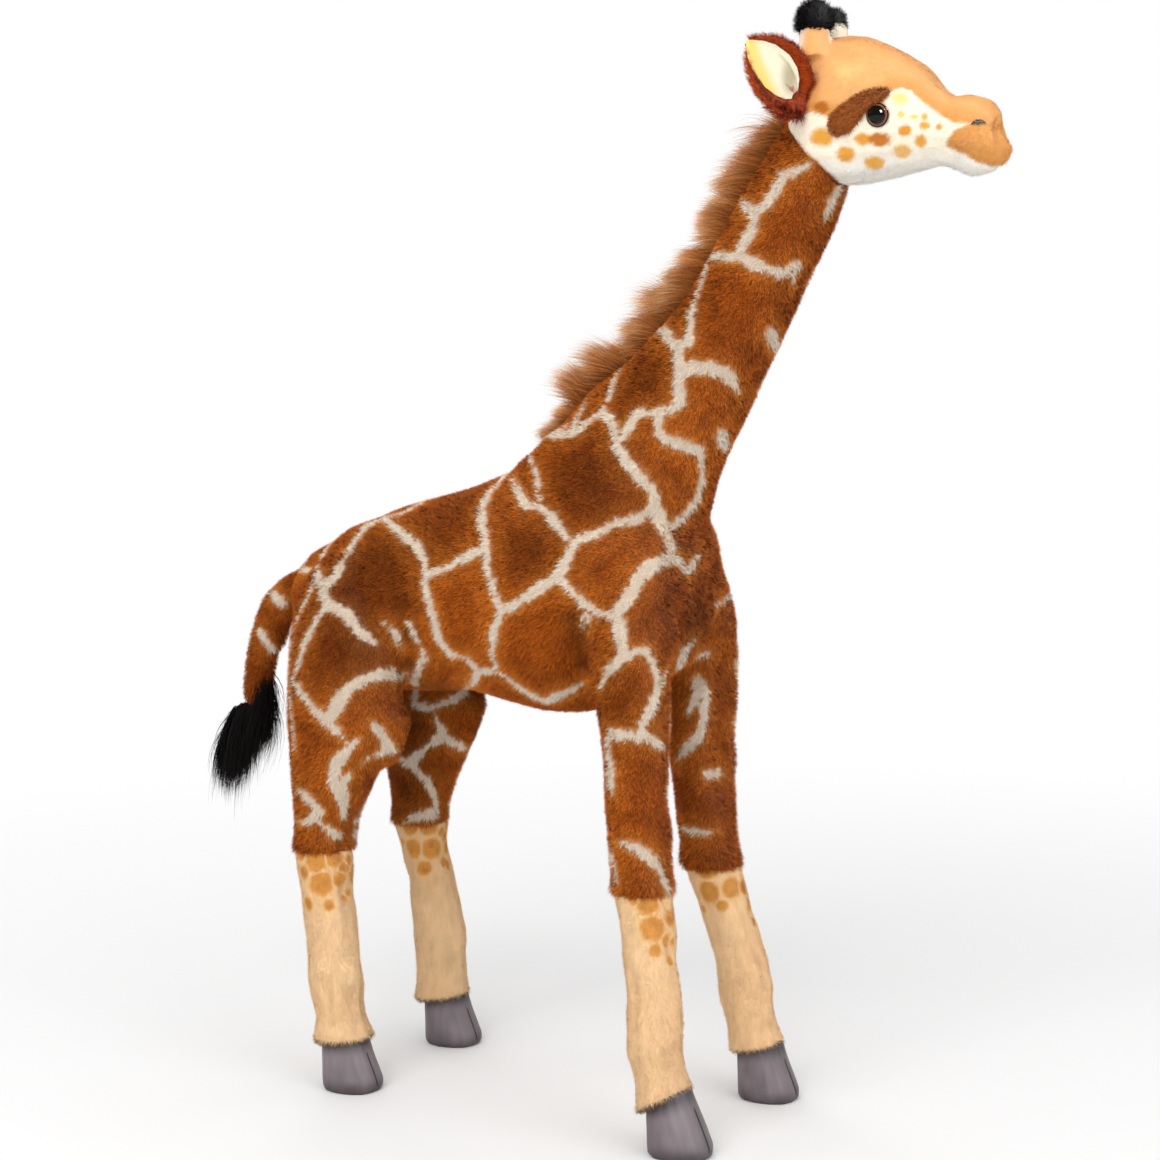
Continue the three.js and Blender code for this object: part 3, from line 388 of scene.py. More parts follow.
# The airbrushed spots: place, half width, half height and colour
FACE_SPOTS = [
    (492, 525, 44, 32, "#B5691F"), (496, 672, 64, 48, "#E2A03A"), (615, 757, 48, 44, "#DE9C38"),
    (700, 682, 44, 32, "#DF9930"), (785, 684, 58, 38, "#C0721A"), (755, 797, 56, 34, "#E3A845"),
    (908, 640, 36, 30, "#DC9129"), (893, 742, 50, 36, "#EBBB6E"), (985, 692, 30, 34, "#DE9E3C"),
    (1003, 614, 28, 22, "#E3A23A"), (1075, 620, 17, 17, "#DD9A35"), (1004, 570, 18, 17, "#E6AC42"),
    (950, 572, 22, 15, "#F2CF6C"), (888, 560, 20, 17, "#F2CF6C"), (880, 480, 44, 34, "#F6DC90"),
]


def linear(tone):
    """An sRGB hex value as linear red, green, blue and alpha."""
    shares = [int(tone[i:i + 2], 16) / 255 for i in (1, 3, 5)]
    light = [c / 12.92 if c <= 0.04045 else ((c + 0.055) / 1.055) ** 2.4 for c in shares]
    return (*light, 1.0)


def shade(tone):
    """The same as an array of three."""
    return np.array(linear(tone)[:3])


def mixed(first, second, share):
    """Goes from the first colour to the second, point by point."""
    first, second = np.array(first), np.array(second)
    return first + (second - first) * np.clip(share, 0, 1)[:, None]


def ramp(low, high, value):
    """Rises smoothly from 0 at low to 1 at high."""
    t = np.clip((value - low) / (high - low), 0, 1)
    return t * t * (3 - 2 * t)


def fall(low, high, value):
    """Falls smoothly from 1 at low to 0 at high."""
    return 1 - ramp(low, high, value)


def unit(vectors):
    """Each vector at length 1."""
    return vectors / np.maximum(np.linalg.norm(vectors, axis=-1, keepdims=True), 1e-9)


def noise(points, size, seed):
    """Smooth noise from -1 to 1 with lumps of this size, in metres."""
    place = points / size + seed * 17.31
    cell = np.floor(place).astype(np.int64)
    part = place - cell
    part = part * part * (3 - 2 * part)
    total = np.zeros(len(points))
    for corner in itertools.product((0, 1), repeat=3):
        at = cell + np.array(corner)
        # Large odd factors scatter the values of neighbouring corners
        code = (at[:, 0] * 73856093) ^ (at[:, 1] * 19349663) ^ (at[:, 2] * 83492791)
        code = (code ^ (code >> 13)) * 1274126177
        value = ((code ^ (code >> 16)) & 0xFFFF) / 32767.5 - 1
        total += value * np.prod(np.where(corner, part, 1 - part), axis=1)
    return total


def wander(points, size, seed):
    """Smooth noise along all three axes."""
    return np.stack([noise(points, size, seed + step) for step in (0, 2, 4)], 1)


def on_photo(points):
    """Where points fall on the photograph, in its pixels."""
    away = points - CAMERA_PLACE
    depth = -(away @ BACKWARD)
    across = PHOTO_WIDTH / 2 + PHOTO_LENS * (away @ RIGHTWARD) / depth
    down = PHOTO_WIDTH / 2 - PHOTO_LENS * (away @ UPWARD) / depth
    return np.stack([across, down], 1)


def on_enlargement(points):
    """The same on the enlargement of the head, with the far side folded onto the near one."""
    near = points * np.array([1, 0, 1]) - np.abs(points) * np.array([0, 1, 0])
    return (on_photo(near) - np.array([CLOSE_LEFT, CLOSE_TOP])) * CLOSE_SCALE


def photo_ray(across, down):
    """The direction from the camera through a pixel of the photograph."""
    half = PHOTO_WIDTH / 2
    way = RIGHTWARD * (across - half) / PHOTO_LENS - UPWARD * (down - half) / PHOTO_LENS - BACKWARD
    return Vector(way).normalized()


def cast(tree, across, down):
    """What the camera's ray through a pixel of the photograph meets: place, normal and more."""
    return tree.ray_cast(Vector(CAMERA_PLACE), photo_ray(across, down))


def line_points(corners, step):
    """Points along a line of corners, a step apart."""
    corners = np.array(corners, float)
    parts = []
    for a, b in zip(corners[:-1], corners[1:]):
        count = max(1, int(np.linalg.norm(b - a) / step))
        parts.append(a + (b - a) * (np.arange(count) / count)[:, None])
    return np.concatenate(parts + [corners[-1:]])


def far_from_line(points, corners, step):
    """How far flat points are from a line of corners."""
    line = line_points(corners, step)
    return np.sqrt(((points[:, None] - line[None]) ** 2).sum(axis=2)).min(axis=1)


def inside_by(points, corners):
    """How far flat points lie inside a closed outline, and less than 0 outside it."""
    corners = np.array(corners, float)
    far = np.full(len(points), 1e9)
    inside = np.zeros(len(points), bool)
    for a, b in zip(corners, np.roll(corners, -1, 0)):
        side = b - a
        share = np.clip(((points - a) @ side) / (side @ side), 0, 1)
        far = np.minimum(far, np.linalg.norm(points - a - share[:, None] * side, axis=1))
        spans = (points[:, 1] < a[1]) != (points[:, 1] < b[1])
        rise = side[1] if abs(side[1]) > 1e-9 else 1e-9
        inside ^= spans & (points[:, 0] < a[0] + (points[:, 1] - a[1]) * side[0] / rise)
    return np.where(inside, far, -far)


def point_tree(points):
    """A tree that finds the nearest of these points."""
    tree = KDTree(len(points))
    for i, point in enumerate(points):
        tree.insert(point, i)
    tree.balance()
    return tree


class Form:
    """A stuffed form as arrays: its corners, its four-sided faces and each corner's own values."""

    def __init__(self, corners, faces):
        self.corners = corners
        self.faces = faces
        pairs = np.concatenate([faces[:, [i, (i + 1) % 4]] for i in range(4)])
        self.edges = np.unique(np.sort(pairs, axis=1), axis=0)
        self.measure()

    def crossed(self):
        """Each face's own normal, twice as long as the face's area."""
        at = self.corners[self.faces]
        return np.cross(at[:, 2] - at[:, 0], at[:, 3] - at[:, 1])

    def measure(self):
        """Works out the normals again after the corners have moved."""
        flat = self.crossed()
        total = np.zeros_like(self.corners)
        for i in range(4):
            for axis in range(3):
                total[:, axis] += np.bincount(self.faces[:, i], flat[:, axis], len(total))
        self.normals = unit(total)

    def evened(self, values, rounds):
        """Averages a value with its neighbours' again and again."""
        values = values.astype(float)
        columns = values.reshape(len(values), -1).copy()
        a, b = self.edges.T
        count = 1 + np.bincount(self.edges.ravel(), minlength=len(values))
        for _ in range(rounds):
            for i in range(columns.shape[1]):
                near = np.bincount(a, columns[b, i], len(values))
                near += np.bincount(b, columns[a, i], len(values))
                columns[:, i] = (columns[:, i] + near) / count
        return columns.reshape(values.shape)

    def largest(self):
        """Keeps the largest of its separate shells, so that no closed gap stays inside."""
        label = np.arange(len(self.corners))
        a, b = self.edges.T
        while True:
            low = np.minimum(label[a], label[b])
            new = label.copy()
            np.minimum.at(new, a, low)
            np.minimum.at(new, b, low)
            new = new[new]
            if (new == label).all():
                break
            label = new
        kept = label == np.bincount(label).argmax()
        return self.part(kept[self.faces].all(axis=1))

    def part(self, chosen, **values):
        """The form made of the chosen faces, with their corners' normals and values."""
        used, again = np.unique(self.faces[chosen], return_inverse=True)
        form = Form(self.corners[used], again.reshape(-1, 4))
        form.normals = self.normals[used]
        for name, value in values.items():
            setattr(form, name, value[used])
        return form

    def tree(self):
        """A tree for casting rays at it."""
        return BVHTree.FromPolygons(self.corners.tolist(), self.faces.tolist())


def node_arrays(names):
    """The corners and triangles of CAD nodes, together."""
    corners, triangles, start = [], [], 0
    for name in names:
        mesh = frame["nodes"][name].data
        mesh.calc_loop_triangles()
        places = np.empty(len(mesh.vertices) * 3, np.float32)
        mesh.vertices.foreach_get("co", places)
        sides = np.empty(len(mesh.loop_triangles) * 3, np.int32)
        mesh.loop_triangles.foreach_get("vertices", sides)
        corners.append(places.reshape(-1, 3).astype(float))
        triangles.append(sides.reshape(-1, 3) + start)
        start += len(mesh.vertices)
    return np.concatenate(corners), np.concatenate(triangles)


def cad_tree(*names):
    """A tree for casting rays at CAD nodes."""
    return BVHTree.FromPolygons(*[a.tolist() for a in node_arrays(names)])


def mesh_of(name, corners, *kinds):
    """A mesh of these corners and of faces given as arrays, one for each number of sides."""
    mesh = bpy.data.meshes.new(name)
    mesh.vertices.add(len(corners))
    mesh.vertices.foreach_set("co", np.asarray(corners, np.float32).ravel())
    loops = np.concatenate([np.asarray(k).ravel() for k in kinds]).astype(np.int32)
    mesh.loops.add(len(loops))
    mesh.loops.foreach_set("vertex_index", loops)
    sizes = np.concatenate([np.full(len(k), np.shape(k)[1]) for k in kinds])
    mesh.polygons.add(len(sizes))
    mesh.polygons.foreach_set("loop_start", (np.cumsum(sizes) - sizes).astype(np.int32))
    mesh.polygons.foreach_set("use_smooth", np.ones(len(sizes), bool))
    mesh.update(calc_edges=True)
    return mesh


def put(name, mesh, material):
    """Adds a piece to the scene."""
    piece = bpy.data.objects.new(name, mesh)
    mesh.materials.append(material)
    bpy.context.scene.collection.objects.link(piece)
    return piece


def paint(mesh, colours):
    """Gives each corner its dye."""
    layer = mesh.color_attributes.new("Dye", "FLOAT_COLOR", "POINT")
    filled = np.ones((len(colours), 4), np.float32)
    filled[:, :3] = colours
    layer.data.foreach_set("color", filled.ravel())


def soft_form(names, voxel, rounds):
    """One even mesh over CAD nodes, its corners rounded as sewn fabric rounds them."""
    corners, triangles = node_arrays(names)
    mesh = mesh_of("form", corners, triangles)
    solid = bpy.data.objects.new("form", mesh)
    bpy.context.scene.collection.objects.link(solid)
    remesh = solid.modifiers.new("Remesh", "REMESH")
    remesh.mode = "VOXEL"
    remesh.voxel_size = voxel * MM
    smooth = solid.modifiers.new("Smooth", "SMOOTH")
    smooth.iterations = rounds
    bpy.context.view_layer.update()
    shaped = solid.evaluated_get(bpy.context.evaluated_depsgraph_get())
    made = shaped.to_mesh()
    places = np.empty(len(made.vertices) * 3, np.float32)
    made.vertices.foreach_get("co", places)
    loops = np.empty(len(made.loops), np.int32)
    made.loops.foreach_get("vertex_index", loops)
    form = Form(places.reshape(-1, 3).astype(float), loops.reshape(-1, 4))
    shaped.to_mesh_clear()
    bpy.data.objects.remove(solid)
    bpy.data.meshes.remove(mesh)
    return form.largest()


def set_normals(mesh, normals):
    """Shades a mesh by a normal for each corner."""
    layer = mesh.attributes.new("custom_normal", "FLOAT_VECTOR", "POINT")
    layer.data.foreach_set("vector", normals.astype(np.float32).ravel())


def skin_piece(name, form, colours, material):
    """The cloth of a form, bare or under its pile."""
    mesh = mesh_of(name, form.corners, form.faces)
    set_normals(mesh, form.normals)
    paint(mesh, colours)
    return put(name, mesh, material)


def attach(piece, part):
    """Lets a piece move with the body of a CAD node; where that node crosses a joint, the piece is
    only fixed in place.
    """
    if part in CROSSINGS:
        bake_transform(piece)
    else:
        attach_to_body(piece, BODY[part])


class Roots:
    """Places strewn evenly over a form, where its pile is tied in."""

    def __init__(self, form, per_mm2, seed):
        self.dice = np.random.default_rng(seed)
        area = 0.5 * np.linalg.norm(form.crossed(), axis=1)
        count = np.floor(area * per_mm2 / MM ** 2 + self.dice.random(len(area))).astype(int)
        self.corners = form.faces[np.repeat(np.arange(len(area)), count)]
        s, t = self.dice.random((2, len(self.corners)))
        self.shares = np.stack([(1 - s) * (1 - t), s * (1 - t), s * t, (1 - s) * t], 1)
        self.places = self.of(form.corners)
        self.normals = unit(self.of(form.normals))

    def keep(self, kept):
        """Drops the roots that aren't kept."""
        self.corners, self.shares = self.corners[kept], self.shares[kept]
        self.places, self.normals = self.places[kept], self.normals[kept]

    def of(self, values):
        """A value of the form's corners, at the roots."""
        shares = self.shares.reshape(self.shares.shape + (1,) * (values.ndim - 1))
        return (values[self.corners] * shares).sum(axis=1)


def lay_pile(roots, nap, length, lean, stray, clump):
    """The points of each hair, root to tip: it leans along the nap, more at its tip, in clumps."""
    count = len(roots.places)
    way = nap + wander(roots.places, clump * MM, 3) * stray
    way += roots.dice.normal(0, stray * 0.45, (count, 3))
    way -= roots.normals * (way * roots.normals).sum(axis=1, keepdims=True)
    way = unit(way)
    points = [roots.places]
    step = (length / len(lean))[:, None] * MM
    tilt = roots.dice.normal(0, 7, count) + noise(roots.places, clump * 1.4 * MM, 11) * 9
    # No hair stands quite on end or lies quite flat
    for angle in lean:
        bend = np.radians(np.clip(angle + tilt, 4, 86))[:, None]
        points.append(points[-1] + step * (roots.normals * np.cos(bend) + way * np.sin(bend)))
    return np.stack(points, 1)


def gathered(points, middles, tightness):
    """Draws hairs together towards their tips into locks, one round each of the chosen hairs."""
    near = point_tree(points[middles, 0])
    lock = np.array([near.find(place)[1] for place in points[:, 0]])
    flat = points.reshape(len(points), -1)
    many = np.bincount(lock, minlength=len(middles))[:, None]
    total = np.stack([np.bincount(lock, column, len(middles)) for column in flat.T], 1)
    line = (total / np.maximum(many, 1))[lock].reshape(points.shape)
    apart = 1 - tightness * np.linspace(0, 1, points.shape[1])[None, :, None]
    return line + (points - line) * apart


def hair_pieces(name, node, points, normals, width, dyes, material, twist):
    """Flat tapering hairs that move with a node. Width in mm, twist in degrees."""
    count, steps = points.shape[0], points.shape[1] - 1
    dice = np.random.default_rng(count)
    heading = unit(points[:, 1:] - points[:, :-1])
    heading = np.concatenate([heading, heading[:, -1:]], 1)
    outward = normals[:, None, :]
    across = unit(np.cross(heading, np.broadcast_to(outward, heading.shape)))
    turn = np.radians(dice.uniform(-twist, twist, count))[:, None, None]
    across = unit(across * np.cos(turn) + np.cross(heading, across) * np.sin(turn))
    taper = (1 - (np.arange(steps + 1) / steps) ** HAIR_TAPER)[None, :, None]
    half = across * width[:, None, None] * MM / 2 * taper
    both = np.stack([points - half, points + half], 2)
    corners = np.concatenate([both[:, :-1].reshape(count, -1, 3), points[:, -1:]], 1)
    dyed = np.concatenate([np.repeat(dyes[:, :-1], 2, axis=1), dyes[:, -1:]], 1)
    per = 2 * steps + 1
    rungs = np.array([(2 * i, 2 * i + 1, 2 * i + 3, 2 * i + 2) for i in range(steps - 1)])
    tip = np.array([(2 * steps - 2, 2 * steps - 1, 2 * steps)])
    at_once = STL_FACES // (2 * steps - 1)
    pieces = []
    for number, start in enumerate(range(0, count, at_once)):
        some = slice(start, min(count, start + at_once))
        amount = some.stop - some.start
        base = (np.arange(amount) * per)[:, None, None]
        kinds = [(base + tip).reshape(-1, 3)]
        if steps > 1:
            kinds.insert(0, (base + rungs).reshape(-1, 4))
        title = f"{name}_{chr(97 + number)}" if count > at_once else name
        mesh = mesh_of(title, corners[some].reshape(-1, 3), *kinds)
        soft = unit(normals[some] + dice.normal(0, NORMAL_STRAY, (amount, 3)))
        set_normals(mesh, np.repeat(soft, per, axis=0))
        paint(mesh, dyed[some].reshape(-1, 3))
        map_hairs(mesh, amount, steps, per)
        piece = put(title, mesh, material)
        attach(piece, node)
        pieces.append(piece)
    return pieces


def map_hairs(mesh, amount, steps, per):
    """Unwraps hairs into a grid with one cell each, so that a baked copy keeps every hair's dye."""
    # Each hair keeps a tenth of its cell clear at every edge
    rows = math.ceil(math.sqrt(amount))
    cell = np.stack(np.divmod(np.arange(amount), rows), 1)[:, None, :]
    up = np.repeat(0.1 + 0.8 * np.arange(steps) / steps, 2)
    along = np.tile([0.1, 0.9], steps)
    inner = np.concatenate([np.stack([along, up], 1), [[0.5, 0.9]]])
    places = ((cell + inner[None]) / rows).reshape(-1, 2)
    order = np.empty(len(mesh.loops), np.int32)
    mesh.loops.foreach_get("vertex_index", order)
    layer = mesh.uv_layers.new(name="OFBake")
    layer.data.foreach_set("uv", places[order].astype(np.float32).ravel())


def shaded_hair_dyes(dye, root_share, tip_share, steps, dice, spread):
    """Each hair's dye: darker at its root as painted shade, lighter at its tip as painted light,
    and a little its own.
    """
    # Pale hairs differ less along their length and from each other
    pale = ramp(0.3, 0.6, dye[:, 1])[:, None]
    shares = np.linspace(root_share, tip_share, steps + 1)[None, :]
    shares = shares + (np.linspace(0.88, 1.05, steps + 1)[None, :] - shares) * pale
    own = dice.normal(1, 1, (len(dye), 1)) * spread * (1 - 0.6 * pale) + 1
    return np.clip(dye[:, None, :] * (shares * own)[:, :, None], 0, 1)


def add(tree, kind, settings=None, values=None, links=None):
    """Adds a node with its settings, its sockets' values and its links."""
    node = tree.nodes.new(kind)
    for name, value in (settings or {}).items():
        setattr(node, name, value)
    for name, value in (values or {}).items():
        node.inputs[name].default_value = value
    for name, source in (links or {}).items():
        tree.links.new(source, node.inputs[name])
    return node


def new_material(name):
    """An empty material and its node tree."""
    material = bpy.data.materials.new(name)
    material.use_nodes = True
    material.node_tree.nodes.clear()
    return material, material.node_tree


def cover(name, surface, dyed=True, texture=None, relief=None, dullness=None):
    """
    A material with these settings of its surface and its corners' dye. A texture in the piece's own
    space may raise it, by a strength and a depth in mm, or set its roughness, from low to high.
    """
    material, tree = new_material(name)
    links = {}
    if dyed:
        dye = add(tree, "ShaderNodeAttribute", {"attribute_name": "Dye"})
        links["Base Color"] = dye.outputs["Color"]
    if texture:
        place = add(tree, "ShaderNodeTexCoord")
        pattern = add(tree, *texture, {"Vector": place.outputs["Object"]})
    if relief:
        raised = add(tree, "ShaderNodeBump", None, {
            "Strength": relief[0], "Distance": relief[1] * MM,
        }, {"Height": pattern.outputs["Fac"]})
        links["Normal"] = raised.outputs["Normal"]
    if dullness:
        dull = add(tree, "ShaderNodeMapRange", None, {
            "To Min": dullness[0], "To Max": dullness[1],
        }, {"Value": pattern.outputs["Fac"]})
        links["Roughness"] = dull.outputs["Result"]
    face = add(tree, "ShaderNodeBsdfPrincipled", None, surface, links)
    add(tree, "ShaderNodeOutputMaterial", None, None, {"Surface": face.outputs["BSDF"]})
    return material


def pile_material(name, roughness, sheen, sheen_tone, gloss=0.12):
    """Dyed fibre: the dye is each hair's own, and its sheen is light on fibres seen edge on."""
    return cover(name, {
        "Roughness": roughness,
        "Sheen Weight": sheen,
        "Sheen Roughness": 0.45,
        "Sheen Tint": linear(sheen_tone),
        "Specular IOR Level": gloss,
    })


def backing_material(name, thread, depth, roughness):
    """Cloth under a pile: dyed with it, and rough from its threads, this many mm apart and deep."""
    return cover(
        name, {"Roughness": roughness, "Sheen Weight": 0.05, "Specular IOR Level": 0.12},
        texture=("ShaderNodeTexNoise", None, {"Scale": 1 / (thread * MM), "Detail": 2.0}),
        relief=(0.6, depth))


def tone_property(name, tone, description):
    """A colour that a user can change."""
    return bpy.props.FloatVectorProperty(
        name=name, description=description, subtype="COLOR", size=3, min=0, max=1,
        default=linear(tone)[:3],
    )


def number_property(name, value, description, low=0.05, high=200, **kind):
    """A number that a user can change, such as a length in mm, with its unit or subtype."""
    return bpy.props.FloatProperty(
        name=name, description=description, default=value, min=low, max=high, **kind)


class GiraffeCoat(bpy.types.PropertyGroup):
    """Sizes and dyes of the patchwork plush."""

    patch: tone_property("Patch", "#AC5A1A", "Brown of the patches")
    patch_dark: tone_property("Patch middle", "#7A3204", "Darker brown amid the patches")
    patch_rim: tone_property("Patch rim", "#BC7230", "Lighter brown along the cream lines")
    cream: tone_property("Cream", "#EEDDC8", "Cream of the lines")
    pile: number_property("Pile", 3.3, "Length of the plush pile in mm")
    fibre: number_property("Fibre", 0.36, "Width of a tuft in mm, drawn coarse enough to show")
    per_mm2: number_property("Density", 2.4, "Tufts for each square millimetre", high=4)
    backing_depth: number_property("Backing", 2.0, "Depth of the backing under the tips, in mm")


class GiraffeHair(bpy.types.PropertyGroup):
    """Sizes and dyes of the mane and of the black hair."""

    mane: tone_property("Mane", "#B0662A", "Golden brown of the mane's hair")
    mane_tip: tone_property("Mane tip", "#E6B784", "Pale gold at the tips of the mane's hair")
    mane_root: tone_property("Mane root", "#6E3812", "Brown at the foot of the mane")
    mane_length: number_property("Mane length", 35.0, "Length of the mane's hair in mm")
    black: tone_property("Black", "#0D0B0A", "Black of the tail tuft and the ossicones' tufts")
    tuft_length: number_property("Tuft length", 66.0, "Length of the tail tuft's hair in mm")


class GiraffeFace(bpy.types.PropertyGroup):
    """Dyes of the face, the ears and the ossicones."""

    tan: tone_property("Tan", "#E9AE6E", "Tan velour of the forehead and the muzzle")
    tan_edge: tone_property("Tan edge", "#DB9A52", "Airbrushed orange along the edge of the tan")
    ivory: tone_property("Ivory", "#F6ECD6", "Ivory velour of the cheeks")
    white: tone_property("White", "#F3EFE7", "White of the chin and under the jaw")
    brow: tone_property("Brow", "#965224", "Brown of the brow strips")
    rust: tone_property("Rust", "#A8400F", "Rust plush of the ears")
    lining: tone_property("Lining", "#E6DFC6", "Felt lining of the ears")
    lining_edge: tone_property("Lining edge", "#F7CE74", "Yellow along the lining's back edge")
    velour: number_property("Velour", 0.95, "Length of the velour's pile in mm")


class GiraffeLegs(bpy.types.PropertyGroup):
    """Dyes of the sleeves and hooves."""

    peach: tone_property("Peach", "#F0CC9E", "Peach velour of the sleeves")
    spot: tone_property("Spot", "#D8933C", "Airbrushed spots below the knee")
    spot_rim: tone_property("Spot rim", "#F3C98A", "Lighter airbrushing round the spots")
    hoof: tone_property("Hoof", "#746A6E", "Taupe satin of the hooves")
    hoof_dark: tone_property("Hoof edge", "#453D40", "Darker satin at the foot of the hooves")


class GiraffeEyes(bpy.types.PropertyGroup):
    """Dyes and finish of the safety eyes."""

    pupil: tone_property("Pupil", "#0B0908", "Black of the ball")
    ring: tone_property("Ring", "#8F5640", "Brown ring round the ball")
    roughness: number_property(
        "Roughness", 0.035, "How dull the polished ball is", 0, 1, subtype="FACTOR")


class GiraffeStage(bpy.types.PropertyGroup):
    """The studio."""

    floor: tone_property("Floor", "#E9E9E9", "Floor's own colour, under the giraffe")
    key_watts: number_property(
        "Key lamp", 32, "Power of the main soft lamp in watts", 0, 400, unit="POWER")
    fill_watts: number_property(
        "Fill lamp", 15, "Power of the fill lamp in watts", 0, 400, unit="POWER")
    sky: number_property("Room light", 0.75, "Strength of the light from all round", 0, 2)


def cast_line(tree, corners, step=2.0):
    """Points of the photograph's line on a surface, leaving out those that miss it."""
    found = []
    for across, down in line_points(corners, step):
        place = cast(tree, across, down)[0]
        if place is not None:
            found.append(np.array(place))
    return found


def seen_from_camera(tree, places, slack=0.004):
    """Which places the camera sees. A surface may stand this many metres in front of them."""
    start = Vector(CAMERA_PLACE)
    seen = np.zeros(len(places), bool)
    for i, place in enumerate(places):
        away = Vector(place) - start
        hit = tree.ray_cast(start, away.normalized())[0]
        seen[i] = hit is not None and (hit - start).length > away.length - slack
    return seen


def enlarged(corners):
    """Points of the enlargement as points of the photograph."""
    return [(CLOSE_LEFT + x / CLOSE_SCALE, CLOSE_TOP + y / CLOSE_SCALE) for x, y in corners]


def far_from(names, distance):
    """A test for roots: whether they stand at least this many mm clear of CAD nodes."""
    tree = cad_tree(*names)
    return lambda places: np.array([tree.find_nearest(p)[3] > distance * MM for p in places])


def press(form, tree, creases):
    """Presses folds and hollows into a form, on both sides."""
    for depth, width, corners in creases:
        line = cast_line(tree, corners)
        if not line:
            continue
        near = point_tree(line + [point * MIRROR for point in line])
        far = np.array([near.find(c)[2] for c in form.corners]) / (width * MM)
        form.corners -= form.normals * (depth * MM * np.exp(-far ** 2))[:, None]
    form.measure()


def over_back(tree, line, taken):
    """The points that join a line's ends to their twins over the back, clear of those taken."""
    joined = []
    for end in line[:1] + line[-1:]:
        normal = tree.find_nearest(Vector(end))[1]
        if normal.z < BACK_FACING or abs(end[1]) < 2 * MM or end[2] > BACK_TOP:
            continue
        if any(np.linalg.norm(np.array(end) - other) < BACK_SPACING * MM for other in taken):
            continue
        taken.append(np.array(end))
        for y in np.arange(-abs(end[1]), abs(end[1]), 2 * MM):
            sway = 5 * MM * (1 - (y / end[1]) ** 2)
            hit = tree.ray_cast(Vector((end[0] + sway, y, end[2] + 0.05)), Vector((0, 0, -1)))[0]
            if hit is not None:
                joined.append(np.array(hit))
    return joined


def half_widths(line, corners, width):
    """A line's half width along it, running out where its end meets no other line."""
    others = np.concatenate(
        [line_points(other, 4) for _, other in CREAM_LINES if other is not corners])
    thick = np.full(len(line), float(width))
    rank = np.arange(len(line))
    for end, steps in ((corners[0], rank), (corners[-1], rank[::-1])):
        free = np.linalg.norm(others - end, axis=1).min() > MEETING
        if free and len(line) > SHORT_LINE:
            thick *= 0.4 + 0.6 * np.minimum(1, steps / TAPER_STEPS)
    return list(thick)


def line_field(form, tree):
    """For each corner of the coat, how far it is from the nearest cream line's edge, in mm."""
    places, widths, taken = [], [], []
    for width, corners in CREAM_LINES:
        line = cast_line(tree, corners)
        widths += half_widths(line, corners, width)
        if width > 2:
            line += over_back(tree, line, taken)
        places += line
        widths += [width] * (len(places) - len(widths))
    other = np.array(places) * MIRROR
    hidden = ~seen_from_camera(tree, other, 0.006)
    places = np.concatenate([places, other[hidden]])
    widths = np.concatenate([widths, np.array(widths)[hidden]])
    near = point_tree(places)
    field = np.empty(len(form.corners))
    for i, corner in enumerate(form.corners):
        field[i] = min(found[2] / MM - widths[found[1]] for found in near.find_n(corner, 6))
    return field


def patch_field(form, known):
    """The same where the photograph shows nothing: edges of cells round scattered middles."""
    dice = np.random.default_rng(41)
    hidden = np.flatnonzero(~known)
    middles = []
    for i in dice.permutation(hidden):
        spot = form.corners[i]
        space = CELL_SPACE_LOW if spot[2] < LOW_COAT else CELL_SPACE
        if all(np.linalg.norm(spot - m) > space for m in middles):
            middles.append(spot)
    near = point_tree(middles)
    warp = wander(form.corners, 0.02, 21) * 0.004
    field = np.empty(len(form.corners))
    for i, corner in enumerate(form.corners + warp):
        first, second = near.find_n(corner, 2)
        field[i] = (second[2] - first[2]) / 2 / MM - 2.3
    return field


def coat_dye(places, field, tones, coat):
    """The plush's dye at each place from its distance to the nearest cream line."""
    ragged = field + noise(places, 0.0019, 31) * 1.5
    ragged = ragged + noise(places, 0.007, 33) * 0.8 + noise(places, 0.014, 34) * 1.3
    dye = mixed(coat.patch_rim, coat.patch, ramp(0.5, 4.5, ragged))
    middle = ramp(5, 15, field + noise(places, 0.03, 35) * 5)
    dye = mixed(dye, coat.patch_dark, middle * 0.55)
    grain = noise(places, 0.0017, 39)
    # The patches' tone with its painted shade in folds, and a fine grain
    dye = dye * (tones * (1 + noise(places, 0.006, 37) * 0.10 + grain * 0.20))[:, None]
    return mixed(np.array(coat.cream) * (1 + grain * 0.06)[:, None], dye, ramp(-0.8, 0.7, ragged))


def tone_and_shade_field(form, tree):
    """How dark or light the patches are at each corner of the coat: their own tone, with painted
    shade in the folds and under the belly.
    """
    tones = np.ones(len(form.corners))
    for share, radius, across, down in PATCH_TONES_AND_SHADE:
        for place in cast_line(tree, [(across, down)]):
            for middle in (place, place * MIRROR):
                far = np.linalg.norm(form.corners - middle, axis=1)
                tones *= share ** np.exp(-(far / (radius * MM)) ** 2)
    return tones


def nearest_part(form, names):
    """For each face, which CAD node it lies on."""
    middles = form.corners[form.faces].mean(axis=1)
    far = []
    for name in names:
        tree = cad_tree(name)
        far.append([tree.find_nearest(m)[3] for m in middles])
    return np.argmin(np.array(far), axis=0)


def nap_field(form, labels, names):
    """Which way the pile lies at each corner, evened where parts meet."""
    ways = np.zeros((len(form.corners), 3))
    for i, name in enumerate(names):
        ways[np.unique(form.faces[labels == i])] = NAP.get(name, (-0.15, 0, -1))
    ways = form.evened(ways, 30)
    ways -= form.normals * (ways * form.normals).sum(axis=1, keepdims=True)
    return unit(ways)


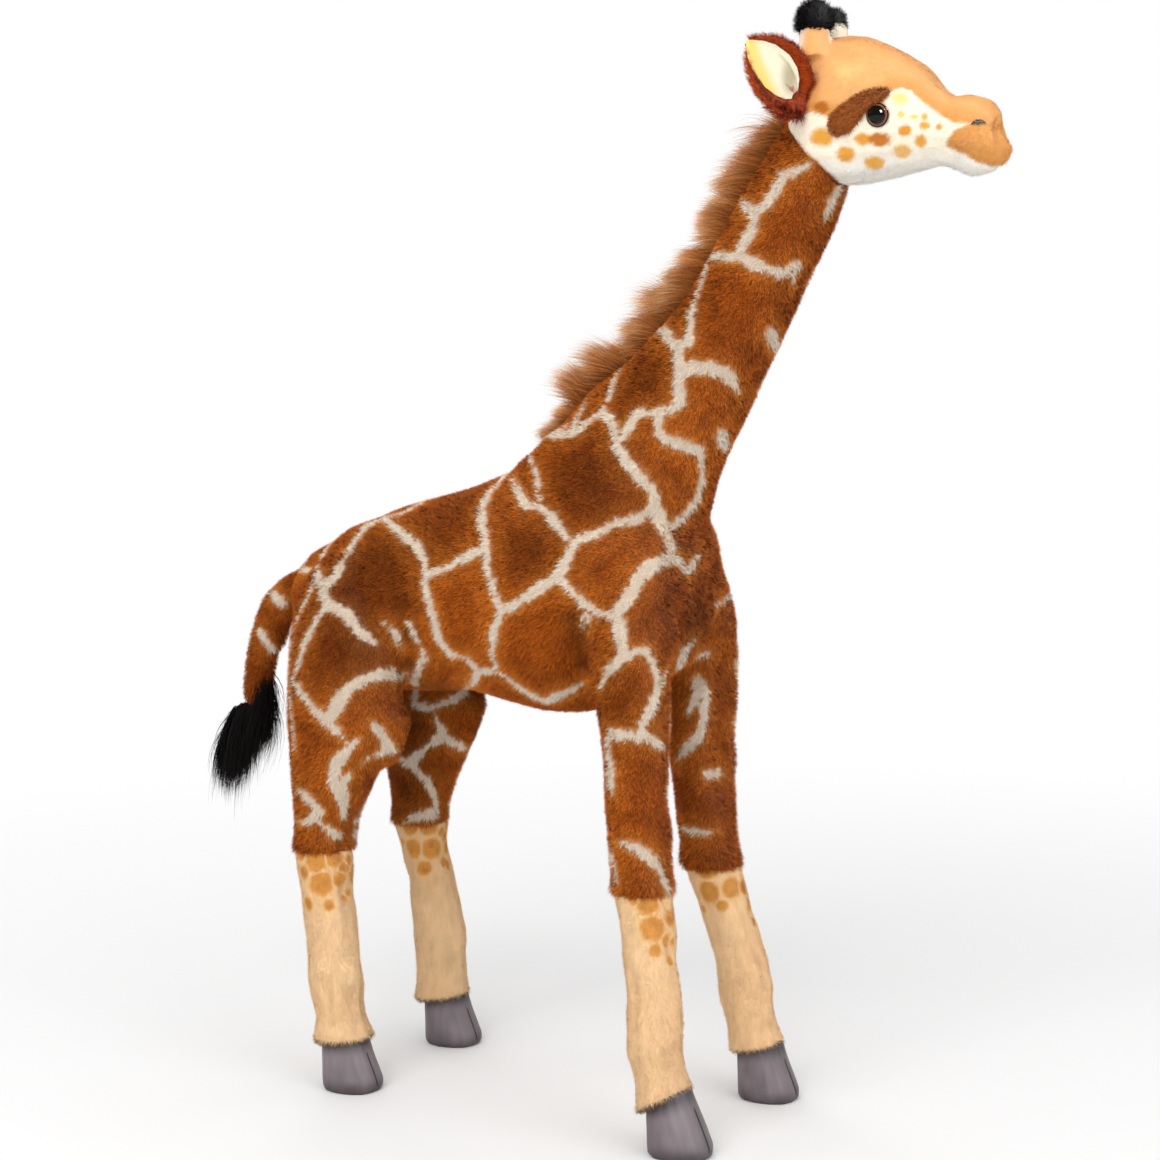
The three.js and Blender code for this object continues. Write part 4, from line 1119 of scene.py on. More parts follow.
class GIRAFFE_OT_coat(bpy.types.Operator):
    """Makes the torso, neck, tail and upper legs as one sewn coat with its pile"""

    bl_idname = "giraffe.coat"
    bl_label = "Coat"

    def execute(self, context):
        coat = context.scene.giraffe_coat
        form = soft_form(COAT, *COAT_GRID)
        labels = nearest_part(form, COAT)
        tree = form.tree()
        field = line_field(form, tree)
        known = seen_from_camera(tree, form.corners)
        known |= seen_from_camera(tree, form.corners * MIRROR, 0.012)
        shown = form.evened(known, 8)
        field = np.minimum(field, patch_field(form, known) + 40 * shown)
        tones = tone_and_shade_field(form, tree)
        press(form, tree, CREASES)
        form.corners += form.normals * (noise(form.corners, 0.035, 51) * 1.0 * MM)[:, None]
        form.corners -= form.normals * (coat.backing_depth * MM)
        for side, (amount, middle, spread) in FORELEG_LEAN.items():
            outward = form.corners[:, 1] * HAND[side]
            part = ramp(0.02, 0.06, form.corners[:, 0]) * ramp(0, 0.012, outward)
            near = np.exp(-((form.corners[:, 2] - middle) / spread) ** 2)
            form.corners[:, 0] += amount * MM * near * part
        self.tuck(form, labels)
        form.measure()
        nap = nap_field(form, labels, COAT)
        head = soft_form(HEAD, 2.5, 2).tree()
        # Knitted polyester backing: dyed darker than the pile, as painted shade that shows between
        # the tufts
        backing = backing_material("knitted_polyester_backing", 0.8, 0.3, 0.9)
        # Acrylic plush, cut pile: soft and dull, with a warm glow where the fibres are seen edge on
        plush = pile_material("acrylic_plush_cut_pile", 0.7, 0.04, "#FFD9B0", 0.06)
        for i, name in enumerate(COAT):
            part = form.part(labels == i, field=field, nap=nap, tones=tones)
            under = coat_dye(part.corners, part.field, part.tones, coat)
            # Darker than the pile, less so where the dye is pale: painted shade between the tufts
            under = under * (0.62 + 0.26 * ramp(0.3, 0.6, under[:, 1:2]))
            skin = skin_piece(f"{name}_skin", part, under, backing)
            attach(skin, name)
            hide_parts(name)
            roots = Roots(part, coat.per_mm2, 100 + i)
            if name == "neck":
                roots.keep(np.array([not self.buried(head, place) for place in roots.places]))
            dye = coat_dye(roots.places, roots.of(part.field), roots.of(part.tones), coat)
            long = coat.pile * (1 + noise(roots.places, 0.003, 61) * 0.18)
            long = long * roots.dice.uniform(*PILE_SPREAD, len(dye))
            if name.startswith("upper_leg"):
                long = long * (1 + 0.5 * fall(SLEEVE_TOP, 0.170, roots.places[:, 2]))
            points = lay_pile(roots, roots.of(part.nap), long, (24, 46), 0.9, 2.0)
            wide = coat.fibre * roots.dice.uniform(*FIBRE_SPREAD, len(dye))
            # Darker roots as painted shade deep in the pile, lighter tips as painted light
            dyes = shaded_hair_dyes(dye, 0.55, 1.50, 2, roots.dice, 0.22)
            hair_pieces(
                f"{name}_pile", name, points, roots.normals, wide, dyes, plush,
                PILE_TWIST)
        return {"FINISHED"}

    def tuck(self, form, labels):
        """Draws the neck's end up into the head and the legs' ends down over the sleeves."""
        head = cad_tree("head")
        ends = np.unique(form.faces[labels == COAT.index("neck")])
        far = np.array([head.find_nearest(corner)[3] for corner in form.corners[ends]])
        form.corners[ends] += NECK_UP * fall(0, 22 * MM, far)[:, None] * (7 * MM)
        for leg in LEGS:
            ends = np.unique(form.faces[labels == COAT.index(f"upper_leg_{leg}")])
            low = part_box(f"upper_leg_{leg}")[0].z
            end = fall(low + 0.004, low + 0.016, form.corners[ends, 2])[:, None]
            form.corners[ends] += (form.normals[ends] * [1.6, 1.6, 0] + [0, 0, -4.0]) * end * MM

    def buried(self, head, place):
        """Whether a place lies well inside the head."""
        near, normal, _, far = head.find_nearest(Vector(place))
        return far > 2.0 * MM and (Vector(place) - near).dot(normal) < 0


def plain(tone):
    """A dye that is the same all over."""
    return lambda places: np.tile(tone, (len(places), 1))


def dress(node, form, dye_of, *, under, backing, per_mm2, seed, pile, nap, lean, stray,
          clump, fibre, grade, spread, material, clear=None, longer=None):
    """
    A form's backing and its pile, moving with its node. under is the backing's share of the dye:
    below 1, it is painted shade between the tufts.
    pile, fibre and clump are in mm, lean is in degrees for each step from the root on, and grade is
    the dye's share at root and tip: darker at the root as painted shade, lighter at the tip as
    painted light.
    """
    # The backing darkened by under, as painted shade between the tufts
    skin = skin_piece(f"{node}_skin", form, dye_of(form.corners) * under, backing)
    attach(skin, node)
    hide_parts(node)
    roots = Roots(form, per_mm2, seed)
    if clear:
        roots.keep(clear(roots.places))
    dye = dye_of(roots.places)
    long = pile * roots.dice.uniform(*PILE_SPREAD, len(dye))
    if longer:
        long = long * longer(roots.places)
    points = lay_pile(roots, np.array(nap), long, lean, stray, clump)
    wide = fibre * roots.dice.uniform(*FIBRE_SPREAD, len(dye))
    dyes = shaded_hair_dyes(dye, *grade, len(lean), roots.dice, spread)
    hair_pieces(
        f"{node}_pile", node, points, roots.normals, wide, dyes, material, PILE_TWIST)


def along_jaw(at):
    """How far down the enlargement points are, levelled along the jaw."""
    return at[:, 1] + JAW_SLOPE * (at[:, 0] - JAW_START)


def face_dye(places, face):
    """The face's airbrushed dye: tan above, ivory cheek with spots, white under the jaw."""
    at = on_enlargement(places)
    rough = noise(places, 0.0016, 71) * 5
    cheek = inside_by(at, CHEEK)
    away = ramp(0, 75, -cheek + noise(places, 0.012, 73) * 20)
    top = mixed(face.tan_edge, face.tan, away)
    crown = inside_by(at, FOREHEAD)
    top = mixed(face.tan_edge, top, 0.35 + 0.65 * ramp(0, 55, crown))
    top = mixed(top, shade("#F3C681"), ramp(90, 190, crown) * 0.8)
    front = ramp(*FRONT_ACROSS, at[:, 0]) * ramp(*FRONT_DOWN, at[:, 1])
    top = mixed(top, shade("#E9A75C"), front * 0.6)
    skin = mixed(face.ivory, face.white, ramp(*JAW_WHITE, along_jaw(at)))
    nape = fall(*NAPE_FRONT, places[:, 0]) * fall(*NAPE_SIDE, np.abs(places[:, 1]))
    dye = mixed(top, skin, ramp(-7, 9, cheek + rough) * (1 - nape))
    for x, y, wide, tall, tone in FACE_SPOTS:
        far = np.hypot((at[:, 0] - x) / wide, (at[:, 1] - y) / tall)
        dye = mixed(dye, shade(tone), fall(0.62, 1.2, far + rough / 30) * 0.97)
    return dye * (1 + noise(places, 0.0013, 75) * 0.05 + noise(places, 0.005, 77) * 0.03)[:, None]


class GIRAFFE_OT_head(bpy.types.Operator):
    """Makes the velour head with its white chin, its two horns and the stitched nostrils"""

    bl_idname = "giraffe.head"
    bl_label = "Head, chin and horns"

    def execute(self, context):
        face = context.scene.giraffe_face
        # Polyester velour, sheared: an even matt face with a fine soft edge
        velour = pile_material("polyester_velour_sheared", 0.75, 0.06, "#FFF0DC")
        # Its backing: dyed with it, so that no ground shows through the short pile
        backing = backing_material("velour_backing", 0.5, 0.15, 0.9)
        form = soft_form(HEAD, *HEAD_GRID)
        form = form.part(~self.in_socket(form))
        labels = nearest_part(form, HEAD)
        form.corners -= form.normals * (0.7 * MM)
        at = on_enlargement(form.corners)
        lip = ramp(*LIP_DOWN, at[:, 1]) * ramp(*LIP_ACROSS, at[:, 0])
        lip = lip * (1 - 0.5 * ramp(*LIP_TIP, at[:, 0]))
        form.corners += np.outer(lip, [1.0, 0, -4.6]) * MM
        smooth = (ramp(*SMOOTH_DOWN, at[:, 1]) * ramp(*SMOOTH_ACROSS, at[:, 0]))[:, None]
        form.corners += (form.evened(form.corners, 40) - form.corners) * smooth
        jowl = fall(*JOWL_WIDTH, far_from_line(at, CHEEK_EDGE, 8))
        jowl = jowl * (1 - 0.5 * ramp(*JOWL_DOWN, at[:, 1]))
        form.corners += (form.normals * [0, 1.8, 0] + [-9.5, 0, -4.5]) * jowl[:, None] * MM
        form.measure()
        press(form, form.tree(), FACE_CREASES)
        clear = far_from(["eye_left", "eye_right"], 1.2)
        for i, name in enumerate(HEAD):
            part = form.part(labels == i)
            horn = name.startswith("ossicone")
            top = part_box(name.replace("ossicone", "ossicone_tuft"))[0].z if horn else 1.0
            dye_of = self.horn_dye if horn else face_dye
            dress(
                name, part, lambda p, dye_of=dye_of: dye_of(p, face), under=0.97, backing=backing,
                per_mm2=2.2,
                seed=201 + i, pile=face.velour, nap=(0, 0, 1.0) if horn else (-0.8, 0, -0.5),
                lean=(66,), stray=0.7, clump=3.0, fibre=0.34, grade=(1.0, 1.06), spread=0.06,
                material=velour, longer=self.longer,
                clear=lambda p, top=top: clear(p) & (p[:, 2] < top - 0.003))
        self.nostrils(form)
        return {"FINISHED"}

    def in_socket(self, form):
        """Which faces line the socket that the neck stands in, and are never seen."""
        neck = cad_tree("neck")
        middles, ways = form.corners[form.faces].mean(axis=1), unit(form.crossed())
        hits = [neck.ray_cast(Vector(m), Vector(w), SOCKET_GAP) for m, w in zip(middles, ways)]
        return np.array([hit[0] is not None for hit in hits])

    def horn_dye(self, places, face):
        """Tan on the outer side of a horn, ivory on its inner side and behind."""
        at = on_enlargement(places)
        outer = ramp(-4, 2, np.abs(places[:, 1]) / MM - 16.8)
        horn = mixed(face.ivory, face.tan, ramp(*HORN_TAN, at[:, 0] + 0.1 * at[:, 1]) * outer)
        above = places[:, 2] - places[:, 2].min()
        return mixed(face_dye(places, face), horn, ramp(0.002, 0.012, above))

    def longer(self, places):
        """The pile is longer over the muzzle's end, the chin and along the jaw."""
        at = on_enlargement(places)
        muzzle = 1.6 * ramp(*MUZZLE_ACROSS, at[:, 0]) * ramp(*MUZZLE_DOWN, at[:, 1])
        muzzle = muzzle * (1 - 0.5 * ramp(*MUZZLE_LOW, at[:, 1]))
        return 1 + np.maximum(muzzle, 1.3 * ramp(*JAW_PILE, along_jaw(at)))

    def nostrils(self, head):
        """Black stitches laid over the muzzle where the nostrils are."""
        tree = head.tree()
        # Cotton thread, twisted: dull black with fine ridges
        thread = cover(
            "cotton_thread_twisted", {"Base Color": linear("#171411"), "Roughness": 0.65},
            dyed=False, texture=("ShaderNodeTexNoise", None, {"Scale": 1 / (0.4 * MM)}),
            relief=(0.5, 0.1))
        for side, mirror in (("right", 1), ("left", -1)):
            curve = bpy.data.curves.new(f"nostril_{side}", "CURVE")
            curve.dimensions = "3D"
            curve.bevel_depth = 0.38 * MM
            curve.bevel_resolution = 3
            curve.use_fill_caps = True
            for ends in STITCHES:
                line = cast_line(tree, enlarged(ends), 0.8)
                if len(line) < 2:
                    continue
                spline = curve.splines.new("POLY")
                spline.points.add(len(line) - 1)
                for i, (point, place) in enumerate(zip(spline.points, line)):
                    rise = math.sin(math.pi * (i + 0.5) / len(line))
                    normal = np.array(tree.find_nearest(place)[1])
                    lifted = (place + normal * (1.1 + 0.6 * rise) * MM) * np.array([1, mirror, 1])
                    point.co = (*lifted, 1)
            attach(put(f"nostril_{side}", curve, thread), "head")


class GIRAFFE_OT_brows(bpy.types.Operator):
    """Makes the two brown brow strips"""

    bl_idname = "giraffe.brows"
    bl_label = "Brows"

    def execute(self, context):
        face = context.scene.giraffe_face
        # Acrylic plush, brushed: a short brown fur, rougher than the velour beside it
        plush = pile_material("acrylic_plush_brushed", 0.75, 0.06, "#FFD0A8")
        # Its knitted backing: dyed brown, and darker as painted shade between the tufts
        backing = backing_material("brow_backing", 0.6, 0.2, 0.9)
        head = soft_form(HEAD, *HEAD_GRID).tree()
        for i, side in enumerate(SIDES):
            dress(
                f"brow_{side}", self.strip(head, -HAND[side]), plain(face.brow), under=0.7,
                backing=backing, per_mm2=4.5, seed=221 + i, pile=3.0,
                nap=(-0.6, 0, -0.8), lean=(30, 56), stray=1.1, clump=2.0, fibre=0.36,
                grade=(0.62, 1.45), spread=0.22, material=plush)
        return {"FINISHED"}

    def strip(self, head, mirror):
        """The padded strip laid over the head along the brow's line."""
        rows, columns = 26, 11
        widths, places = np.array([b[0] for b in BROW]), np.array([b[1:] for b in BROW], float)
        run = np.concatenate([[0], np.cumsum(np.linalg.norm(np.diff(places, axis=0), axis=1))])
        along = np.linspace(0, run[-1], rows)
        middle = np.stack([np.interp(along, run, places[:, k]) for k in (0, 1)], 1)
        way = unit(np.gradient(middle, axis=0))
        half = np.interp(along, run, widths) * CLOSE_SCALE * 1.53
        corners, last = [], None
        for row in range(rows):
            end = math.sqrt(max(0, 1 - abs(2 * row / (rows - 1) - 1) ** 6))
            for v in np.linspace(-1, 1, columns):
                sideways = np.array([-way[row, 1], way[row, 0]])
                spot = middle[row] + sideways * half[row] * v * max(end, 0.3)
                hit = cast(head, *enlarged([spot])[0])
                last = hit if hit[0] is not None else last
                lift = (2.2 * math.sqrt(max(0, 1 - v * v)) * end - 0.5) * MM
                place = np.array(last[0]) + np.array(last[1]) * lift
                corners.append(place * np.array([1, mirror, 1]))
        at = np.arange((rows - 1) * columns).reshape(-1, columns)[:, :-1].ravel()
        form = Form(np.array(corners), np.stack([at, at + 1, at + columns + 1, at + columns], 1))
        outward = form.corners.mean(axis=0) * np.array([0, 1, 0])
        if (form.normals @ outward).mean() < 0:
            form = Form(form.corners, form.faces[:, ::-1])
        return form


class GIRAFFE_OT_ears(bpy.types.Operator):
    """Makes the rust ears and their felt linings"""

    bl_idname = "giraffe.ears"
    bl_label = "Ears"

    def execute(self, context):
        face = context.scene.giraffe_face
        # Acrylic plush, long cut pile: it stands out round the ear's edge
        plush = pile_material("acrylic_plush_long_pile", 0.75, 0.06, "#FFC0A0")
        # Its knitted backing: dyed rust, and darker as painted shade between the tufts
        backing = backing_material("ear_backing", 0.6, 0.2, 0.9)
        # Wool felt, pressed: a matt face of tangled fibres about 0.3 mm apart
        felt = backing_material("wool_felt_pressed", 0.45, 0.12, 0.85)
        for i, side in enumerate(SIDES):
            form = soft_form([f"ear_{side}"], 1.0, 4)
            form.corners += (np.array([0.9, 0, 2.2]) - form.normals * 0.9) * MM
            high = form.corners[:, 2]
            form.corners[:, 2] = high.mean() + (high - high.mean()) * 1.08
            form.measure()
            bare = far_from([f"ear_lining_{side}"], 1.6)
            dress(
                f"ear_{side}", form, plain(face.rust), under=0.7, backing=backing,
                per_mm2=4.2, seed=231 + i, pile=3.9,
                nap=(-0.35, 0.75 * HAND[side], 0.25), lean=(36, 60), stray=0.6, clump=2.8,
                fibre=0.30, grade=(0.7, 1.5), spread=0.14, material=plush,
                clear=lambda p, bare=bare: bare(p - LINING_MOVE),
                longer=lambda p: 1 + 0.9 * ramp(*EAR_LOW, on_enlargement(p)[:, 1]))
            self.lining(side, felt, face, form.tree())
        return {"FINISHED"}

    def lining(self, side, felt, face, ear):
        """The felt lining: yellow along its back edge, ivory inside, with painted shade in the cup.
        """
        node = f"ear_lining_{side}"
        form = soft_form([node], 0.6, 3)
        outward = unit(form.corners.mean(axis=0) - node_arrays([f"ear_{side}"])[0].mean(axis=0))
        form.corners += LINING_MOVE + outward * (0.6 * MM)
        rise = np.zeros(len(form.corners))
        for i, corner in enumerate(form.corners):
            start = corner + outward * LINING_REACH
            hit = ear.ray_cast(Vector(start), Vector(-outward), 2 * LINING_REACH)
            if hit[0] is not None:
                rise[i] = max(0, LINING_REACH + LINING_CLEARANCE - hit[3])
        form.corners += outward * form.evened(rise, 12)[:, None]
        at = on_enlargement(form.corners)
        dye = mixed(face.lining_edge, face.lining, ramp(14, 70, far_from_line(at, LINING_BACK, 6)))
        # Painted shade in the hollow of the cup, kept off the lit rim
        cup = np.hypot(*((at - CUP_MIDDLE) / CUP_HALF).T)
        dye = mixed(dye, shade("#A39D7E"), fall(0.2, 1.25, cup) * 0.85)
        rim = fall(12, 22, far_from_line(at, LINING_FRONT, 6))
        dye = mixed(dye, face.lining, rim)
        form.corners += outward * (rim * 1.3 * MM)[:, None]
        form.measure()
        piece = skin_piece(f"{node}_felt", form, dye, felt)
        attach(piece, node)
        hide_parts(node)
        # Both faces of the felt are in the sum, and each cross product is twice its face's area
        area = 0.25 * np.linalg.norm(form.crossed(), axis=1).sum()


class GIRAFFE_OT_ossicones(bpy.types.Operator):
    """Makes the black tufts of the two horns"""

    bl_idname = "giraffe.ossicones"
    bl_label = "Horn tufts"

    def execute(self, context):
        hair = context.scene.giraffe_hair
        # Acrylic fur, left long: it ends in black spikes with a little shine
        fur = pile_material("acrylic_fur_black", 0.6, 0.01, "#8A8078", 0.06)
        # Its knitted backing: dyed black, so that no ground shows between the spikes
        backing = backing_material("ossicone_backing", 0.5, 0.15, 0.9)
        for i, side in enumerate(SIDES):
            tuft = soft_form([f"ossicone_tuft_{side}"], 0.9, 4)
            tuft.corners -= tuft.normals * (1.2 * MM)
            size, move, pile = HORN_TUFTS[side]
            middle = tuft.corners.mean(axis=0)
            tuft.corners = middle + (tuft.corners - middle) * size * [1, 1, 1.16]
            tuft.corners += np.array(move) * MM
            tuft.measure()
            dress(
                f"ossicone_tuft_{side}", tuft, plain(hair.black), under=0.8, backing=backing,
                per_mm2=2.6, seed=251 + i, pile=pile,
                nap=(-0.35, 0, 0.9), lean=(14, 34, 52), stray=1.5, clump=3.2, fibre=0.5,
                grade=(0.6, 1.7), spread=0.3, material=fur)
        return {"FINISHED"}


class GIRAFFE_OT_eyes(bpy.types.Operator):
    """Makes the two polished safety eyes"""

    bl_idname = "giraffe.eyes"
    bl_label = "Eyes"

    def execute(self, context):
        eyes = context.scene.giraffe_eyes
        # Acrylic, moulded and polished: a hard bright highlight over black, a brown ring and a rim,
        # with wear in patches 1.5 mm wide
        material = cover(
            "acrylic_moulded_polished", {"IOR": 1.49, "Specular IOR Level": 0.24},
            texture=("ShaderNodeTexNoise", None, {"Scale": 1 / (1.5 * MM), "Detail": 3.0}),
            dullness=(eyes.roughness * 0.7, eyes.roughness * 1.5))
        for side in SIDES:
            node = f"eye_{side}"
            corners, _ = node_arrays([node])
            middle = corners.mean(axis=0)
            spread = np.linalg.svd(corners - middle)[2]
            outward = np.array([0.0, HAND[side], 0.0])
            axis = max(spread, key=lambda v: abs(v @ outward))
            axis = axis * np.sign(axis @ outward)
            along = (corners - middle) @ axis
            off = np.linalg.norm(corners - middle - along[:, None] * axis, axis=1)
            top, bottom, radius = along.max(), along.min(), off.max()
            brim = along[off > radius * 0.9].min()
            shank, under, seat, ball = 0.0016, brim - 0.0004, brim + 0.0010, radius * 0.80
            profile = [
                (0.0, bottom), (shank, bottom), (shank, under), (radius * 0.9, under),
                (radius, brim), (radius, brim + 0.0005), (radius * 0.93, seat),
                (radius * 0.86, brim + 0.0007), (ball, seat),
            ]
            for step in range(1, BALL_STEPS + 1):
                angle = math.pi / 2 * step / BALL_STEPS
                profile.append((ball * math.cos(angle), seat + (top - seat) * math.sin(angle)))
            self.turned(node, profile, middle, axis, radius, material, eyes)
        return {"FINISHED"}

    def turned(self, node, profile, middle, axis, radius, material, eyes):
        """The eye turned about its axis, with a dye for its ball, ring and rim."""
        first = unit(np.cross(axis, [0, 0, 1.0]))
        second = np.cross(axis, first)
        angles = np.arange(EYE_SIDES) * 2 * math.pi / EYE_SIDES
        ring = np.cos(angles)[:, None] * first + np.sin(angles)[:, None] * second
        corners, dyes = [], []
        for distance, height in profile:
            corners.append(middle + axis * height + ring * max(distance, 1e-6))
            share = distance / radius
            tone = eyes.pupil if share < 0.79 else eyes.ring if share < 0.92 else shade("#1C1412")
            dyes.append(np.tile(tone, (EYE_SIDES, 1)))
        faces = []
        for start in range(0, (len(profile) - 1) * EYE_SIDES, EYE_SIDES):
            for i in range(EYE_SIDES):
                a, b = start + i, start + (i + 1) % EYE_SIDES
                faces.append((a, b, b + EYE_SIDES, a + EYE_SIDES))
        mesh = mesh_of(f"{node}_ball", np.concatenate(corners), np.array(faces))
        paint(mesh, np.concatenate(dyes))
        piece = put(f"{node}_ball", mesh, material)
        attach(piece, node)
        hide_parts(node)


class GIRAFFE_OT_sleeves(bpy.types.Operator):
    """Makes the four velour sleeves of the lower legs"""

    bl_idname = "giraffe.sleeves"
    bl_label = "Sleeves"

    def execute(self, context):
        legs = context.scene.giraffe_legs
        face = context.scene.giraffe_face
        # Polyester velour, airbrushed: peach with soft-edged spots, a little worn to the ground
        velour = pile_material("polyester_velour_airbrushed", 0.78, 0.06, "#FFEBD0")
        # Its knitted backing: dyed with it, so that the short pile looks closed
        backing = backing_material("sleeve_backing", 0.6, 0.25, 0.9)
        everything = soft_form([f"leg_sleeve_{leg}" for leg in LEGS] + COAT, 4.0, 2).tree()
        spots = self.spots(everything)
        for i, leg in enumerate(LEGS):
            form = soft_form([f"leg_sleeve_{leg}"], 2.0, 4)
            ground = form.corners[form.corners[:, 2] < 0.045, 0].mean()
            press(form, everything, SLEEVE_CREASES)
            self.shape(form, leg, ground)

            def level(places, rise=HEM_RISE[leg], ground=ground):
                return places[:, 2] - rise * (places[:, 0] - ground)

            def dye_of(places, level=level, leg=leg):
                return self.dye(places, level(places), spots, legs, SLEEVE_TONES[leg])

            dress(
                f"leg_sleeve_{leg}", form, dye_of, under=0.93, backing=backing,
                per_mm2=2.2, seed=261 + i,
                pile=face.velour * 1.9, nap=(0, 0, -1.0), lean=(50,), stray=0.9, clump=2.4,
                fibre=0.34, grade=(0.9, 1.1), spread=0.07, material=velour,
                longer=lambda p, level=level: 1 + fall(HEM_HEIGHT, 0.041, level(p)))
        return {"FINISHED"}

    def spots(self, tree):
        """The middles of the spots on the sleeves, with their twins on the other side."""
        found = []
        for size, across, down in SLEEVE_SPOTS:
            place = cast(tree, across, down)[0]
            if place is not None:
                found += [(size, np.array(place)), (size, np.array(place) * MIRROR)]
        return found

    def shape(self, form, leg, ground):
        """Folds a sleeve and draws its hem out, down and up towards the toes."""
        stretched = form.corners * np.array([1, 1, 0.25])
        folds = noise(stretched, 0.006, 91) * 0.8 + noise(form.corners, 0.016, 93) * 1.2
        form.corners += form.normals * ((folds - 0.9) * MM)[:, None]
        high = form.corners[:, 2]
        belly = ramp(HEM_HEIGHT, 0.060, high) * fall(0.110, SLEEVE_TOP, high)
        form.corners[:, 0] += SLEEVE_SWAY[leg] * MM * belly
        hem = fall(HEM_HEIGHT, 0.050, form.corners[:, 2])[:, None]
        form.corners += (form.normals * [2.2, 2.2, 0] + [0, 0, -1.2]) * hem * MM
        low = fall(HEM_HEIGHT, 0.085, form.corners[:, 2])
        toward = form.corners[:, 0] - ground
        pull = HEM_PULL[leg] * ramp(-0.006, 0.016, toward) - 2.4 * fall(-0.016, 0.0, toward)
        form.corners[:, 0] -= pull * low * MM
        form.corners[:, 2] += HEM_RISE[leg] * (form.corners[:, 0] - ground) * low
        form.measure()

    def dye(self, places, level, spots, legs, tone):
        """Peach with airbrushed spots that keep apart, and a dark line along the hem: partly the
        hem's own dark edge, partly painted shade under it.
        """
        wear = (noise(places, 0.02, 81) * 0.5 + 0.3) * 0.5
        dye = mixed(np.array(legs.peach) * tone, shade("#E2B27C"), wear)
        streak = noise(places * np.array([1, 1, 0.3]), 0.0022, 85) * 0.06
        dye = dye * (1 + (streak + noise(places, 0.006, 87) * 0.05))[:, None]
        first, second = np.full((2, len(places)), 9.0)
        rough = noise(places, 0.003, 83) * 0.09
        for size, middle in spots:
            far = np.linalg.norm(places - middle, axis=1) / MM / size + rough
            second = np.minimum(second, np.maximum(first, far))
            first = np.minimum(first, far)
        spot = fall(0.72, 1.06, first) * ramp(0.06, 0.26, second - first)
        dye = mixed(dye, legs.spot_rim, fall(0.9, 1.5, first) * 0.55)
        cloud = 0.6 * ramp(-0.2, 0.7, noise(places, 0.0045, 89)) * fall(0.3, 0.9, first)
        dye = mixed(dye, mixed(legs.spot, shade("#B06A24"), cloud), spot * 0.9)
        # Dark hem line: partly the hem's own dark edge, partly painted shade where the sleeve
        # overhangs the hoof
        return mixed(dye, shade("#4A3A30"), fall(HEM_HEIGHT, 0.0356, level) * 0.85)


class GIRAFFE_OT_hooves(bpy.types.Operator):
    """Makes the four padded satin hooves with their clefts"""

    bl_idname = "giraffe.hooves"
    bl_label = "Hooves"

    def execute(self, context):
        legs = context.scene.giraffe_legs
        # Polyester satin, woven: a smooth face with a broad soft shine. Its threads are too fine to
        # show, so they are drawn as bands 2.513 mm apart
        satin = cover("polyester_satin_woven", {
            "Roughness": 0.6, "Sheen Weight": 0.2, "Sheen Roughness": 0.3,
            "Specular IOR Level": 0.16,
        }, texture=("ShaderNodeTexWave", {"bands_direction": "Z"}, {
            "Scale": 1 / (WAVE_BANDS * 2.513 * MM), "Distortion": 1.5, "Detail": 1.0,
        }), relief=(0.25, 0.05))
        for leg in LEGS:
            node = f"hoof_{leg}"
            form = soft_form([node], 1.1, 3)
            low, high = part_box(node)
            middle = (low.y + high.y) / 2
            front = (form.corners[:, 0] - low.x) / (high.x - low.x)
            height = form.corners[:, 2] / high.z
            lowered = fall(0.0, 0.38, height + noise(form.corners, 0.008, 95) * 0.08)
            worn = noise(form.corners * np.array([1, 1, 0.25]), 0.0025, 97) * 0.10
            worn = worn + noise(form.corners, 0.009, 99) * 0.16
            colour = mixed(legs.hoof, legs.hoof_dark, lowered * 0.8)
            # Random blotches, and darker towards the top as painted shadow under the sleeve's hem
            colour = colour * (1 + worn - 0.6 * ramp(0.66, 0.92, height))[:, None]
            slit = fall(0.5, 1.3, np.abs(form.corners[:, 1] - middle) / MM) * (front > 0.6)
            slit = slit * ramp(0.10, 0.14, height) * fall(0.66, 0.72, height)
            colour = mixed(colour, shade("#141112"), slit)
            ground = form.corners[height > 0.85, 0].mean()
            toward = form.corners[:, 0] - ground
            upper = ramp(0.2, 1.0, height)
            toe = ramp(0.4, 1.0, front) * fall(0.1, 0.7, height)
            heel = fall(0.0, 0.4, front)
            pull = HEM_PULL[leg] * ramp(-0.006, 0.016, toward) * upper
            form.corners[:, 0] += (2.2 * toe + 2.8 * heel - pull) * MM
            form.corners[:, 2] += (HEM_RISE[leg] * (form.corners[:, 0] - ground) + 3.2 * MM) * upper
            form.measure()
            piece = skin_piece(f"{node}_satin", form, colour, satin)
            attach(piece, node)
            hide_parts(node)
        return {"FINISHED"}


